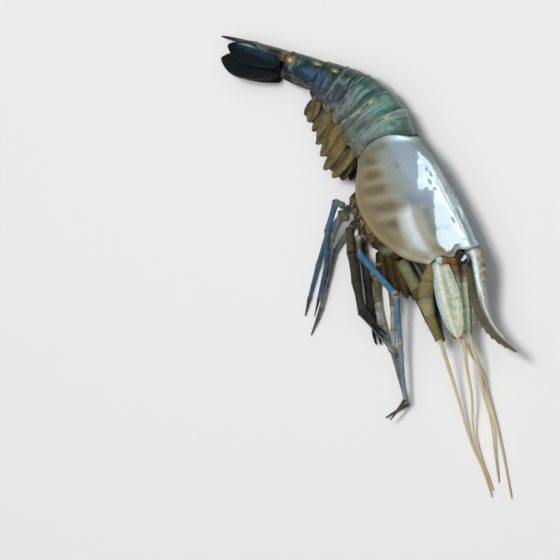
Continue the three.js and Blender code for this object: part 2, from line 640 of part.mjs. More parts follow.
/** The stalk widens from the face to the eye and stops just short of the ball. */
function eyestalk(sign) {
  const root = bodyPoint(EYESTALK.along, sign * EYESTALK.out, EYESTALK.up);
  const ball = bodyPoint(EYE.along, sign * EYE.out, EYE.up);
  const whole = ball.distanceTo(root);
  const end = root.clone().lerp(ball, (whole - EYE.radius - GAP) / whole);
  const stops = [
    { point: root, radius: EYESTALK.rootRadius },
    { point: root.clone().lerp(end, 0.6), radius: EYESTALK.middleRadius },
    { point: end, radius: EYESTALK.endRadius },
  ];
  return tube(stops, HEAD_SIDES);
}

const HEAD_DROOP = -24; // degrees from the carapace's heading, of all that points forward

const SCALE_ROOT = { along: 63, out: 8.8, up: -1.2 };
const SCALE_DROOP = -20; // as above, of the scale
const SCALE_BLADE = { length: 40, rootWidth: 5, width: 12, widestAt: 0.6, thickness: 1.4 };
const SCALE_LEAST_HEIGHT = 3;
const SCALE_LEAN = 0.12;

/** Antennal scale: a long pale blade beside the feelers. */
function antennalScale(sign) {
  const root = bodyPoint(SCALE_ROOT.along, sign * SCALE_ROOT.out, SCALE_ROOT.up, SCALE_LEAST_HEIGHT);
  const frame = bodyFrame(SCALE_ROOT.along);
  const along = direction(CARAPACE_HEADING + SCALE_DROOP, sign > 0 ? -5 : 1);
  const across = frame.up.clone().addScaledVector(frame.out, -sign * SCALE_LEAN).normalize();
  return leaf({ root, along, across, ...SCALE_BLADE });
}

// The antenna's base, joint by joint: along, out, up and radius.
const ANTENNA_BASE = [
  [63, 7.4, -6.8, 2.8], [68.6, 9, -12.6, 4], [75, 9.6, -18, 4.2], [84, 9.4, -20.4, 2.6], [96, 9, -22.4, 1.8],
];
const ANTENNA_WAIST = 0.98;

/** The antenna's base, with its rounded knob, as far as the whip. */
function antennaBase(sign) {
  return bodyLimb(ANTENNA_BASE, sign, HEAD_SIDES, ANTENNA_WAIST);
}

/** Where the antenna's whip starts: just clear of the last joint of its base. */
function antennaEnd(sign) {
  const [before, last] = ANTENNA_BASE.slice(-2).map(([along, out, up, radius]) => {
    return bodyPoint(along, sign * out, up, radius * CLEARANCE);
  });
  return last.clone().addScaledVector(last.clone().sub(before).normalize(), GAP);
}

// The antennule's base, joint by joint: distance from its root and radius.
const ANTENNULE_ROOT = { along: 63, out: 3.8, up: 4 };
const ANTENNULE_JOINTS = [[0, 2.8], [14, 2.6], [27, 2.5], [38, 1.9]];
const ANTENNULE_WAIST = 0.9;

/** A point on the middle line of the antennule's base, at a distance from its root. */
function antennulePoint(sign, reach) {
  const root = bodyPoint(ANTENNULE_ROOT.along, sign * ANTENNULE_ROOT.out, ANTENNULE_ROOT.up);
  return root.addScaledVector(direction(CARAPACE_HEADING + HEAD_DROOP, sign > 0 ? -3 : 0.5), reach);
}

/** The antennule's base: three short segments in a row. */
function antennuleBase(sign) {
  const joints = ANTENNULE_JOINTS.map(([reach, radius]) => ({ point: antennulePoint(sign, reach), radius }));
  return limb(joints, HEAD_SIDES, ANTENNULE_WAIST);
}

/** Where the antennule's whip starts: just clear of the end of its base. */
function antennuleEnd(sign) {
  return antennulePoint(sign, ANTENNULE_JOINTS.at(-1)[0] + GAP);
}

// Where each whip passes after it leaves its base, in the drawing frame, as far as its tip.
const WHIPS = {
  antenna_whip_right: {
    base: antennaEnd(1), radius: 0.95,
    route: [[27.4, -98.8, 20.6], [29, -110.7, 13.4], [32.4, -127.9, 6.6], [36.4, -145, 3], [42.6, -160, 1.4], [47, -173, 1]],
  },
  antenna_whip_left: {
    base: antennaEnd(-1), radius: 0.8,
    route: [[34, -97.2, 5], [40.3, -106.4, 4.8], [46.8, -126.1, 3.8], [52.1, -147.2, 2.2], [57.2, -174, 0.8]],
  },
  antennule_whip_right: {
    base: antennuleEnd(1), radius: 0.9,
    route: [[37.8, -97.3, 17.2], [37.8, -109, 12.8], [38.9, -123.2, 8.4], [38.6, -142, 4], [47.6, -170, 1.6]],
  },
  antennule_whip_left: {
    base: antennuleEnd(-1), radius: 0.9,
    route: [[40.9, -98.1, 14.2], [43, -108, 11], [44.4, -120.3, 7.6], [47.6, -135.2, 4.6], [49, -151.1, 2.6], [50.6, -166, 1]],
  },
};
const WHIP_TIP_RADIUS = 0.35;
const WHIP_STEPS = 20;
const WHIP_SIDES = 6;

/** A whip: a thin feeler that grows from its base, falls to the table and tapers to its tip. */
function whip({ base, route, radius }) {
  const places = [base, ...route.map((place) => new THREE.Vector3(...place))];
  const curve = new THREE.CatmullRomCurve3(places, false, "centripetal");
  const stops = Array.from({ length: WHIP_STEPS + 1 }, (_, i) => ({
    point: curve.getPoint(i / WHIP_STEPS),
    radius: THREE.MathUtils.lerp(radius, WHIP_TIP_RADIUS, i / WHIP_STEPS),
  }));
  return tube(stops, WHIP_SIDES);
}

const MOUTH_RINGS = [61.8, 63, 66, 70, 74, 77];
const MOUTH_SIZE = [[61, 0.7], [66, 1], [72, 0.85], [77, 0.4]]; // as a share of its full section
const MOUTH_UP = -11.4;
const MOUTH_HALF_WIDTH = 3.6;
const MOUTH_HALF_HEIGHT = 6;
const MOUTH_SIDES = 10;

/** The mouthparts: a dark lump between the antenna bases and the breast. */
function mouthparts() {
  const sizeAt = profile(MOUTH_SIZE);
  const rings = MOUTH_RINGS.map((along) => Array.from({ length: MOUTH_SIDES }, (_, i) => {
    const angle = (2 * Math.PI * i) / MOUTH_SIDES;
    const out = MOUTH_HALF_WIDTH * sizeAt(along) * Math.cos(angle);
    return bodyPoint(along, out, MOUTH_UP + MOUTH_HALF_HEIGHT * sizeAt(along) * Math.sin(angle));
  }));
  const middle = (along) => bodyPoint(along, 0, MOUTH_UP);
  return loft(rings, middle(MOUTH_RINGS[0] - GAP), middle(MOUTH_RINGS.at(-1) + 1));
}

// ---------------------------------------------------------------- assembly

const LEG_FINISHES = [LEG_PALE, LEG_OLIVE, LEG_BLUE, LEG_PALE, LEG_BLUE];
const TEAL_SOMITES = 4; // the two behind them are dark

const prawn = new THREE.Group();

function add(name, geometry, material) {
  const mesh = new THREE.Mesh(geometry, material);
  mesh.name = name;
  prawn.add(mesh);
}

add("carapace", carapace(), SHELL_GREY);
add("thorax", thorax(), GILL_BROWN);
add("mouthparts", mouthparts(), GILL_BROWN);
SOMITE_LENGTHS.forEach((_, i) => add(`somite_${i + 1}`, somite(i), i < TEAL_SOMITES ? SHELL_TEAL : SHELL_DARK));
add("telson", telson(), SHELL_DARK);
for (const [side, sign] of [["right", 1], ["left", -1]]) {
  add(`uropod_outer_${side}`, uropod(sign, UROPODS.outer), SHELL_DARK);
  add(`uropod_inner_${side}`, uropod(sign, UROPODS.inner), SHELL_DARK);
  PLEOPOD_LENGTHS.forEach((_, i) => add(`pleopod_${i + 1}_${side}`, pleopod(side, i), GILL_BROWN));
  LEG_PAIRS.forEach((_, i) => add(`leg_${i + 1}_${side}`, leg(side, i), LEG_FINISHES[i]));
  add(`maxilliped_${side}`, maxilliped(sign), LEG_OLIVE);
  add(`eye_${side}`, eye(sign), EYE_BLACK);
  add(`eyestalk_${side}`, eyestalk(sign), ROSTRUM_OLIVE);
  add(`antennal_scale_${side}`, antennalScale(sign), LEG_PALE);
  add(`antenna_base_${side}`, antennaBase(sign), LEG_OLIVE);
  add(`antennule_base_${side}`, antennuleBase(sign), LEG_PALE);
}
for (const [name, sizes] of Object.entries(WHIPS)) add(name, whip(sizes), FEELER_TAN);

const box = new THREE.Box3().setFromObject(prawn);
const middle = box.getCenter(new THREE.Vector3());
prawn.position.set(-middle.x, -middle.y, -box.min.z);

export default prawn;
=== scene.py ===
# %% [markdown]
# # A raw giant river prawn
# The imported model is loaded first. It fixes every size and place: the pieces made below are finer
# skins for the same solids, in the same frame, in metres.

# %% Load the imported model
import bpy
import numpy as np
from mathutils import Matrix, Vector


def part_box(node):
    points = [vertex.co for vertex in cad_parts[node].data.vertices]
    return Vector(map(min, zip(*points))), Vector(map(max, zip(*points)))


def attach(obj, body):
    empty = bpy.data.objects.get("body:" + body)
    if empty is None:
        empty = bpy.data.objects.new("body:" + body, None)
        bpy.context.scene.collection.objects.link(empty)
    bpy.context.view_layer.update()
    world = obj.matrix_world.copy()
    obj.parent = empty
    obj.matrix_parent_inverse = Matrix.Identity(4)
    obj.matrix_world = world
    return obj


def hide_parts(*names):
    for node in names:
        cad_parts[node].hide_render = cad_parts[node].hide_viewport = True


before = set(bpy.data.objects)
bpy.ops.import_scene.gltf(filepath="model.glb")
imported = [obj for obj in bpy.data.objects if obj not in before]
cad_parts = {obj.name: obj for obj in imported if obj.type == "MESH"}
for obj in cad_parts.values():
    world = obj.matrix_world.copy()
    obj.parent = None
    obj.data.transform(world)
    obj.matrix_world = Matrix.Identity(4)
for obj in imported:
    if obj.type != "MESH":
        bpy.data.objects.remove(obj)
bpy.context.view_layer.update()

# %% [markdown]
# ## Curves through a few sizes
# An animal's outline changes smoothly, so each measure (half width, height, thickness) is given at a
# few places and a cubic curve joins them. At each knot the slope is the mean slope between its two
# neighbours. It works on whole arrays at once, so a surface needs no loop over its points.

# %% A smooth profile
def profile(knots):
    """Cubic pieces through (position, value) knots; a knot's slope is its neighbours' mean slope."""
    x, y = np.array(knots, float).T
    last, following = np.r_[0, 0:len(x) - 1], np.r_[1:len(x), len(x) - 1]
    slope = (y[following] - y[last]) / (x[following] - x[last])

    def value(at):
        at = np.clip(at, x[0], x[-1])
        i = np.clip(np.searchsorted(x, at, side="left") - 1, 0, len(x) - 2)
        span = x[i + 1] - x[i]
        t = (at - x[i]) / span
        return ((2 * t ** 3 - 3 * t ** 2 + 1) * y[i] + (t ** 3 - 2 * t ** 2 + t) * slope[i] * span
                + (3 * t ** 2 - 2 * t ** 3) * y[i + 1] + (t ** 3 - t ** 2) * slope[i + 1] * span)

    return value


def lerp(a, b, t):
    """A value a share t of the way from a to b."""
    return a + (b - a) * t


def ease(t):
    """0 before 0, 1 after 1 and a smooth step between."""
    t = np.clip(t, 0, 1)
    return t * t * (3 - 2 * t)


def above(x, start, width):
    """0 up to the start and 1 from one width above it."""
    return ease((x - start) / width)


def below(x, end, width):
    """1 down from one width below the end and 0 from the end on."""
    return ease((end - x) / width)


def bump(x, middle, width):
    """A bell: 1 at the middle, about a third one width away."""
    return np.exp(-((x - middle) / width) ** 2)


print("half way up a curve:", float(profile([[0, 0], [1, 2], [2, 0]])(0.5)))

# %% [markdown]
# ## The body's own coordinates
# The prawn lies on its left flank with its tail bent, so straight axes are of little use. Every
# place is given as *along* (forward from the rear edge of the head shell), *out* (to the animal's right)
# and *up* (towards its back), in millimetres. The axis is straight through the head shell, and behind
# it each tail segment adds an even bend. Adding up short steps gives the bent axis as a table.

# %% The bent axis of the body
GAP = 0.35
HEADING, ROLL, AXIS_HEIGHT = -60.5, 12, 18.4
SHELL_REAR, SHELL_FRONT = -5.5, 61
SOMITE_LENGTHS = [9.5, 10.5, 11.5, 10.5, 10, 20]
SOMITE_BENDS = [2, 9, 14, 9, 5, 1]
JOINTS = np.r_[0, np.cumsum(SOMITE_LENGTHS)]
JOINT_HEIGHTS = [17.8, 15.3, 13.5, 11.4, 9.5, 7.9, 7.2]
JOINT_ROLLS = [11, 10, 8, 6, 4, 3, 2]
height_behind = profile(np.c_[JOINTS, JOINT_HEIGHTS])
roll_behind = profile(np.c_[JOINTS, JOINT_ROLLS])


def turned(behind):
    """Degrees that the axis has turned at a distance behind the head shell."""
    shares = [np.clip((behind - start) / length, 0, 1) for start, length in zip(JOINTS, SOMITE_LENGTHS)]
    return sum(bend * share for bend, share in zip(SOMITE_BENDS, shares))


STEP = 0.05
behind_table = np.arange(0, 130, STEP)
middle_heading = np.radians(HEADING + turned(behind_table + STEP / 2))
start = SHELL_REAR * np.array([np.cos(np.radians(HEADING)), np.sin(np.radians(HEADING))])
axis_x = start[0] - np.r_[0, np.cumsum(np.cos(middle_heading))[:-1]] * STEP
axis_y = start[1] - np.r_[0, np.cumsum(np.sin(middle_heading))[:-1]] * STEP


def body_frame(along):
    """The axis point and the directions forward, out and up at places along the body."""
    along = np.asarray(along, float)
    behind = np.maximum(SHELL_REAR - along, 0)
    ahead = np.maximum(along - SHELL_REAR, 0)
    head = np.radians(HEADING)
    x = np.interp(behind, behind_table, axis_x) + ahead * np.cos(head)
    y = np.interp(behind, behind_table, axis_y) + ahead * np.sin(head)
    blend = np.clip(behind / 4, 0, 1)
    z = lerp(AXIS_HEIGHT, height_behind(behind), blend)
    roll = np.radians(lerp(ROLL, roll_behind(behind), blend))
    turn = np.radians(HEADING + turned(behind))
    zero = np.zeros_like(turn)
    forward = np.stack([np.cos(turn), np.sin(turn), zero], -1)
    up = np.stack([-np.sin(turn) * np.cos(roll), np.cos(turn) * np.cos(roll), np.sin(roll)], -1)
    return np.stack([x, y, z], -1), forward, np.cross(forward, up), up


def body_point(along, out, up, least=0.0):
    """Points at along, out and up, kept at least a given height over the table."""
    along, out, up = np.broadcast_arrays(*[np.asarray(v, float) for v in (along, out, up)])
    at, _, right, back = body_frame(along)
    points = at + right * out[..., None] + back * up[..., None]
    points[..., 2] = np.maximum(points[..., 2], least)
    return points


SIDES = {"right": 1, "left": -1}  # the sign of out on each side
EYE = {"along": 69, "out": 7.4, "up": 10.2, "radius": 2.9}
low, high = (np.array(corner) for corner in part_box("eye_right"))
SHIFT = (low + high) / 2 * 1000 - body_point(EYE["along"], EYE["out"], EYE["up"])
SHIFT[2] = 0
print("the drawing's zero in the model, mm:", SHIFT.round(2))

# %% [markdown]
# ## Skins
# Nearly everything on a prawn is a closed skin that can be drawn as rings: a tail segment, a leg
# segment, a blade of the fan. A grid of points (rings by points round each ring) becomes quads, and a
# fan of triangles to a middle point closes each end. If the enclosed volume comes out negative the
# faces are turned round, so they always look outwards. Each point also gets its pigment, and a number
# called run: how far it lies along a feeler, for the rings, or how much water stands on the head shell.

# %% Colours
def linear(hex_colour):
    """An sRGB hex colour as linear red, green and blue."""
    srgb = np.array([int(hex_colour[i:i + 2], 16) for i in (1, 3, 5)]) / 255
    return np.where(srgb <= 0.04045, srgb / 12.92, ((srgb + 0.055) / 1.055) ** 2.4)


def flat_pigment(shape, hex_colour):
    """One colour at every point of a grid."""
    return np.broadcast_to(linear(hex_colour), (*shape, 3)).copy()


def tint(pigment, *layers):
    """Moves the pigment towards each layer's colour in turn, by its amount from 0 to 1 at each point."""
    for hex_colour, amount in layers:
        amount = np.clip(amount, 0, 1)[..., None]
        pigment = pigment * (1 - amount) + linear(hex_colour) * amount
    return pigment


def marble(pigment, darkest, lightest, noise):
    """Multiplies the pigment by factors between two values as the noise goes from 0 to 1."""
    return pigment * lerp(darkest, lightest, noise)[..., None]


print("mid grey is", linear("#808080").round(3))

# %% Rings to a closed skin
def skin(rings, pigment, run=None, start=None, end=None):
    """A closed skin from a grid of rings: its points, faces, pigment and distance along."""
    rows, columns = rings.shape[:2]
    index = np.arange(rows * columns).reshape(rows, columns)
    ahead = np.roll(index, -1, axis=1)
    quads = np.stack([index[:-1], ahead[:-1], ahead[1:], index[1:]], -1).reshape(-1, 4)
    first, last = rows * columns, rows * columns + 1
    start_fan = np.stack([np.full(columns, first), ahead[0], index[0]], -1)
    end_fan = np.stack([np.full(columns, last), index[-1], ahead[-1]], -1)
    start = rings[0].mean(0) if start is None else start
    end = rings[-1].mean(0) if end is None else end
    points = np.vstack([rings.reshape(-1, 3), start, end])
    colour = np.vstack([pigment.reshape(-1, 3), pigment[0].mean(0), pigment[-1].mean(0)])
    run = np.zeros((rows, columns)) if run is None else np.broadcast_to(run, (rows, columns))
    distance = np.r_[run.reshape(-1), run[0].mean(), run[-1].mean()]
    triangles = np.vstack([quads[:, [0, 1, 2]], quads[:, [0, 2, 3]], start_fan, end_fan])
    a, b, c = (points[triangles[:, k]] for k in range(3))
    if np.einsum("ij,ij->", a, np.cross(b, c)) < 0:
        quads, start_fan, end_fan = quads[:, ::-1], start_fan[:, ::-1], end_fan[:, ::-1]
    return points, [quads, start_fan, end_fan], colour, distance


def add_piece(name, skins, material, node):
    """One Blender mesh from several skins, riding on the model and standing for a named solid."""
    offsets = np.cumsum([0] + [len(s[0]) for s in skins])
    points = (np.vstack([s[0] for s in skins]) + SHIFT) * 0.001
    faces = [row for s, offset in zip(skins, offsets) for block in s[1] for row in (block + offset).tolist()]
    mesh = bpy.data.meshes.new(name)
    mesh.from_pydata(points.tolist(), [], faces)
    mesh.polygons.foreach_set("use_smooth", np.ones(len(faces), bool))
    pigment = mesh.attributes.new("pigment", "FLOAT_COLOR", "POINT")
    colour = np.vstack([s[2] for s in skins])
    pigment.data.foreach_set("color", np.c_[colour, np.ones(len(colour))].ravel())
    run = mesh.attributes.new("run", "FLOAT", "POINT")
    run.data.foreach_set("value", np.concatenate([s[3] for s in skins]))
    mesh.materials.append(material)
    piece = bpy.data.objects.new(name, mesh)
    bpy.context.collection.objects.link(piece)
    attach(piece, "root")
    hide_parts(node)
    print(f"{name}: {len(faces)} faces for {node}")


print("helpers ready")

# %% [markdown]
# ## The head shell
# One vaulted shield of chitin covers the head and breast. Across, it is half an ellipse over the back,
# and below its widest line each flank curves in to a free edge. Lofting a few stations would do for
# the solids; here the same profiles are sampled every 0.4 mm, so that thin rims, the sunken seam near
# the edge and the low keel that leads to the rostrum can be modelled and not only painted.

# %% Sizes of the head shell
shell_top = profile([[-5.5, 15.6], [4.5, 17], [12.5, 18.6], [28, 19.4], [46, 18.6], [61, 16.6]])
shell_half_width = profile([[-5.5, 15.2], [5, 16.4], [15, 17.5], [25, 18], [37, 17.1], [48, 14.2], [61, 8.8]])
shell_widest = profile([[-5.5, -1], [20, -5], [42, -3], [61, 3]])
shell_lower_edge = profile([[-5.5, 13], [4.5, 20], [12.5, 24.2], [24, 25.5], [35, 24.4], [45, 21], [53, 17],
                            [61, 9]])
FLANK_END = 135
LIP = 1.4
SKIN_INSET = 0.12  # the smooth shell stays this far inside the faceted solid's outer size
PLEURON_SHIFTS = [2, 3.2, -3, -2.4, -2.4, -1.6, 0]
JOINT_TOPS = [15.2, 15.8, 14.6, 12.4, 10.2, 8.6, 7.2]
JOINT_STERNA = [11, 11, 10, 8.8, 7.6, 6.6, 5.8]
REAR_NOTCH = 6.5
FRONT_SWEEP = {"reach": 5.2, "low": -1, "width": 8}
ORBIT = {"up": 10, "width": 2.6, "depth": 2.6}


def shell_section(along, angle):
    """Out and up on the right half of the shell, at an angle in degrees from the back."""
    widest = shell_widest(along)
    lower = (shell_lower_edge(along) + widest) / -np.cos(np.radians(FLANK_END))
    height = np.where(angle < 90, shell_top(along) - widest, lower)
    return shell_half_width(along) * np.sin(np.radians(angle)), widest + height * np.cos(np.radians(angle))


def joint_shift(joint, up):
    """How far a joint's edge lies forward of its plane: at the side plates, and at the first notch."""
    low = np.clip(-up / JOINT_STERNA[joint], 0, 1)
    high = np.clip(up / JOINT_TOPS[joint], 0, 1)
    return PLEURON_SHIFTS[joint] * low ** 2 + (REAR_NOTCH * high ** 3 if joint == 0 else 0)


def edge_shift(along, up):
    """How far the shell's end edges lie forward of their planes: the notch and the corners behind; in
    front the sweep towards the eyes, with a round bay behind each eye."""
    rearness = np.clip(1 - (along - SHELL_REAR) / 24, 0, 1)
    frontness = np.clip(1 - (SHELL_FRONT - along) / 12, 0, 1)
    sweep = FRONT_SWEEP["reach"] * above(up, FRONT_SWEEP["low"], FRONT_SWEEP["width"])
    orbit = ORBIT["depth"] * bump(up, ORBIT["up"], ORBIT["width"])
    return joint_shift(0, up) * rearness + (sweep - orbit) * frontness


def shell_point(along, angle, lift=0.0):
    """A point of the head shell; lift raises it along the section's outward direction."""
    out, up = shell_section(along, np.abs(angle))
    out = np.sign(angle) * out
    length = np.hypot(out, up) + 1e-9
    out, up = out + out / length * lift, up + up / length * lift
    return along + edge_shift(along, up), out, up


print("widest across, mm:", round(2 * float(shell_half_width(25)), 1))

# %% [markdown]
# ## The tail segments
# Six arched plates overlap like roof tiles, each tucked under the one ahead. Every plate hangs down at
# both sides in a rounded lobe, and a thinner belly joins the lobes underneath. The solid's outline is
# repeated with a tucked front, a raised rear rim and a shallow groove behind the front edge.

# %% Sizes of the tail segments
HALF_WIDTHS = [14.6, 14.8, 13.8, 12, 10, 8.3, 6.4]
LOBES = [3.5, 6.5, 5.5, 5, 4.5, 1.5]
SOMITE_GAP = 0.6


def somite_edges(index, up):
    """Where a tail segment's front and rear edges lie along the body, at a height over the axis."""
    front = SHELL_REAR - JOINTS[index] - SOMITE_GAP / 2 + joint_shift(index, up)
    rear = SHELL_REAR - JOINTS[index + 1] + SOMITE_GAP / 2 + joint_shift(index + 1, up)
    return front, rear


def somite_size(index, t):
    """Half width, top, sternum depth and lobe of a tail segment at a share of its length."""
    inside = np.clip(t, 0, 1)
    step = 1 - 0.04 * (1 - inside) ** 3 + 0.015 * inside ** 4
    half = lerp(HALF_WIDTHS[index], HALF_WIDTHS[index + 1], inside) * step
    top = lerp(JOINT_TOPS[index], JOINT_TOPS[index + 1], inside) * step
    sternum = lerp(JOINT_STERNA[index], JOINT_STERNA[index + 1], inside)
    lobe = LOBES[index] * np.sin(np.pi * lerp(0.12, 0.88, inside)) ** 0.8
    return half, top, sternum, lobe


def somite_point(index, t, girth, lift=0.0):
    """A point of a tail segment. Girth runs from 0 on the back to 1 at the widest line and 2 at the
    lobe's lower edge, positive to the right."""
    half, top, sternum, lobe = somite_size(index, t)
    q = np.clip(np.abs(girth) - 1, 0, 1)
    arch = np.minimum(np.abs(girth), 1) * np.pi / 2
    out = np.where(q > 0, half * (1 - 0.2 * q * q), half * np.sin(arch))
    up = np.where(q > 0, -(sternum + lobe) * q, top * np.cos(arch))
    length = np.hypot(out, up) + 1e-9
    out, up = out + out / length * lift, up + up / length * lift
    front, rear = somite_edges(index, up)
    return lerp(front, rear, t), np.sign(girth) * out, up


print("tail length, mm:", JOINTS[-1])

# %% [markdown]
# ## Three ways to make a form
# Limbs and feelers are tubes: rings carried along a path, as a glass blower pulls a gather. Fan blades
# and scales are leaves: flat rings whose width follows an outline. Hairs are slim three-sided cones,
# all worked out in one array, because a hair that is repeated hundreds of times must stay cheap.

# %% Tubes
CLEARANCE = 1.1  # what lies on the table keeps its middle line this many radii over it


def heading(turn, rise):
    """A direction from its heading on the table and its rise, in degrees."""
    turn, rise = np.radians(turn), np.radians(rise)
    return np.array([np.cos(turn) * np.cos(rise), np.sin(turn) * np.cos(rise), np.sin(rise)])


def unit(vectors):
    """Vectors made one long."""
    return vectors / (np.linalg.norm(vectors, axis=-1, keepdims=True) + 1e-12)


def sideways(forward):
    """The level direction to the right of a heading."""
    return unit(np.cross(forward, [0, 0, 1.0]))


def around(count):
    """Even angles once round a ring."""
    return 2 * np.pi * np.arange(count) / count


def walked(path, power=1):
    """The distance walked to each point of a path; a power bends each step's length."""
    return np.r_[0, np.cumsum(np.linalg.norm(np.diff(path, axis=0), axis=1) ** power)]


def points_at(places, known, points):
    """Points between those known along a path."""
    return np.stack([np.interp(places, known, points[:, k]) for k in range(3)], -1)


def tube_rings(path, radius, sides, relief=0.0):
    """Rings of a radius round a path; relief adds to the radius."""
    forward = unit(np.gradient(path, axis=0))
    side = sideways(forward)
    up = np.cross(side, forward)
    angle = around(sides)
    size = np.asarray(radius)[:, None] + relief
    across, rise = size * np.cos(angle), size * np.sin(angle)
    rings = path[:, None] + side[:, None] * across[..., None] + up[:, None] * rise[..., None]
    rings[..., 2] = np.maximum(rings[..., 2], 0)
    return rings


def over_rings(values, rings):
    """One value for each ring, spread over all its points."""
    return np.broadcast_to(values[:, None], rings.shape[:2])


def closing(t, margin, reach):
    """1 along a piece, falling as a square root to almost 0 over a reach at its two ends, 0 and 1."""
    return np.sqrt(np.clip(np.minimum(t + margin, 1 + margin - t) / reach, 0, 1))


def rounded_ends(distance, length, reach):
    """1 in the middle of a piece, falling as a quarter circle to almost 0 over its two ends."""
    near = np.clip(np.minimum(distance, length - distance) / reach, 0, 1)
    return np.sqrt(np.maximum(1 - (1 - near) ** 2, 0.002))


print("a step east and level:", heading(0, 0).round(2))

# %% Leaves
def leaf_rings(root, along, across, length, root_width, width, widest, thickness, rows=70, sides=48,
               ribs=0.0, rib_count=9, edge=0.25, blunt=0.7):
    """Flat rings from a root along a direction. The outline starts round as a square root, swells as a
    sine to its widest place and closes as a cosine; the section is a lens whose ribs are a cosine wave
    across it. Each point's share of the length and its place across, -1 to 1, are given too."""
    along, across = unit(np.array(along, float)), np.array(across, float)
    normal = unit(np.cross(along, across))
    flat = np.cross(normal, along)
    t = 0.992 * np.linspace(0, 1, rows) ** 0.9
    rise = np.sin(np.pi / 2 * np.minimum(t / widest, 1))
    fall = np.cos(np.pi / 2 * np.maximum((t - widest) / (1 - widest), 0)) ** blunt
    half = lerp(root_width, width, rise) * fall / 2 * np.sqrt(np.clip((t + 0.004) / 0.05, 0, 1))
    angle = around(sides)
    side = np.cos(angle)
    rounded = np.abs(np.sin(angle))
    lens = np.sign(np.sin(angle)) * (rounded ** 1.4 * (1 - edge) + edge * rounded ** 0.5)
    thick = thickness * (1 - 0.55 * t) / 2
    wave = 1 + ribs * np.cos(2 * np.pi * rib_count / 2 * side)[None] * np.sin(np.pi * t)[:, None] ** 0.5
    height = thick[:, None] * lens[None] * wave
    middle = np.array(root) + along * (length * t)[:, None]
    rings = middle[:, None] + flat * (half[:, None] * side)[..., None] + normal * height[..., None]
    rings[..., 2] = np.maximum(rings[..., 2], 0.02)
    return rings, np.broadcast_to(t[:, None], height.shape), np.broadcast_to(side[None], height.shape)


print("leaf ready")

# %% Hairs
def hairs(bases, directions, lengths, thickness, hex_colour):
    """Closed three-sided cones standing on the bases: four points and four faces each."""
    directions = unit(directions)
    side = unit(np.cross(directions, [0.3, 0.2, 0.93]))
    other = np.cross(side, directions)
    corners = [bases + thickness * (side * np.cos(a) + other * np.sin(a)) for a in (0, 2.094, 4.189)]
    tips = bases + directions * np.asarray(lengths).reshape(-1, 1)
    points = np.stack([*corners, tips], 1).reshape(-1, 3)
    points[:, 2] = np.maximum(points[:, 2], 0.02)
    first = 4 * np.arange(len(bases))[:, None]
    faces = np.vstack([first + np.array(corner) for corner in ([0, 2, 1], [0, 1, 3], [1, 2, 3], [2, 0, 3])])
    return points, [faces], flat_pigment((len(points),), hex_colour), np.zeros(len(points))


def fringe(rings, share, spacing_mm, length_mm, thickness, hex_colour, seed, lean=0.6,
           sides=("right", "left")):
    """Hairs along a leaf's outer edges, from a share of its length to its tip."""
    random = np.random.default_rng(seed)
    rows = rings[int(len(rings) * share):]
    edges = {"right": rows[:, 0], "left": rows[:, rows.shape[1] // 2]}
    made = []
    for side in sides:
        gone = walked(edges[side])
        count = max(int(gone[-1] / spacing_mm), 2)
        at = np.linspace(0, gone[-1], count)
        base, centre = (points_at(at, gone, line) for line in (edges[side], rows.mean(1)))
        outward = unit(base - centre)
        forward = unit(np.gradient(base, axis=0))
        direction = unit(outward * (1 - lean) + forward * lean) + random.normal(0, 0.06, base.shape)
        length = length_mm * random.uniform(0.75, 1.1, count)
        made.append(hairs(base - outward * 0.15, direction, length, thickness, hex_colour))
    return made


def bristles(start, end, reach, share, lean, thickness, length_mm, hex_colour, random):
    """Hairs that stand off a limb, at shares of the way from start to end, in random directions."""
    forward = unit(end - start)
    spread = unit(np.cross(forward, random.normal(size=(len(share), 3))))
    base = lerp(start, end, share) + spread * reach
    return hairs(base, spread + forward * lean, random.uniform(*length_mm, len(share)), thickness, hex_colour)


print("hair ready")

# %% Soft clouds
def cloud(u, v, seed):
    """Noise from 0 to 1: random values on a lattice of whole numbers, joined by smooth steps."""
    values = np.random.default_rng(seed).random((64, 64))
    i, j = np.floor(u).astype(int), np.floor(v).astype(int)
    a, b = ease(u - i), ease(v - j)
    i, j, i2, j2 = i % 64, j % 64, (i + 1) % 64, (j + 1) % 64
    return lerp(lerp(values[i, j], values[i2, j], a), lerp(values[i, j2], values[i2, j2], a), b)


def clouds(u, v, seed):
    """Three clouds, each finer and fainter than the last, from 0 to 1."""
    fine, finest = cloud(2.1 * u, 2.1 * v, seed + 1), cloud(4.3 * u, 4.3 * v, seed + 2)
    return (cloud(u, v, seed) + fine / 2 + finest / 4) / 1.75


print("a cloud's mean:", float(clouds(*np.mgrid[0:20:0.3, 0:20:0.3], 3).mean().round(2)))

# %% [markdown]
# ## Wet chitin
# A prawn's skin is chitin: a clear, hard film over living pigment, moulded by the animal itself. Raw and
# just rinsed it is wet, so two things meet the eye: soft, clouded colour from below, and sharp white
# reflections from a film of water. A plain colour with one roughness gives plastic. Here each material
# takes its colour from the pigment that was worked out with the shape, adds cell-sized mottling, and
# carries a clear coat for the water. The coat stays smooth while the chitin under it is a little rough.

# %% One node at a time
def add_node(tree, kind, inputs=None, **settings):
    """Adds a node with its settings and gives its outputs; an input is a value or another node's output."""
    node = tree.nodes.new(kind)
    for name, value in settings.items():
        setattr(node, name, value)
    for name, value in (inputs or {}).items():
        if isinstance(value, bpy.types.NodeSocket):
            tree.links.new(value, node.inputs[name])
        else:
            node.inputs[name].default_value = value
    return node.outputs


def new_material(name):
    """An empty material and its node tree."""
    material = bpy.data.materials.new(name)
    material.use_nodes = True
    material.node_tree.nodes.clear()
    return material, material.node_tree


print("node helper ready")

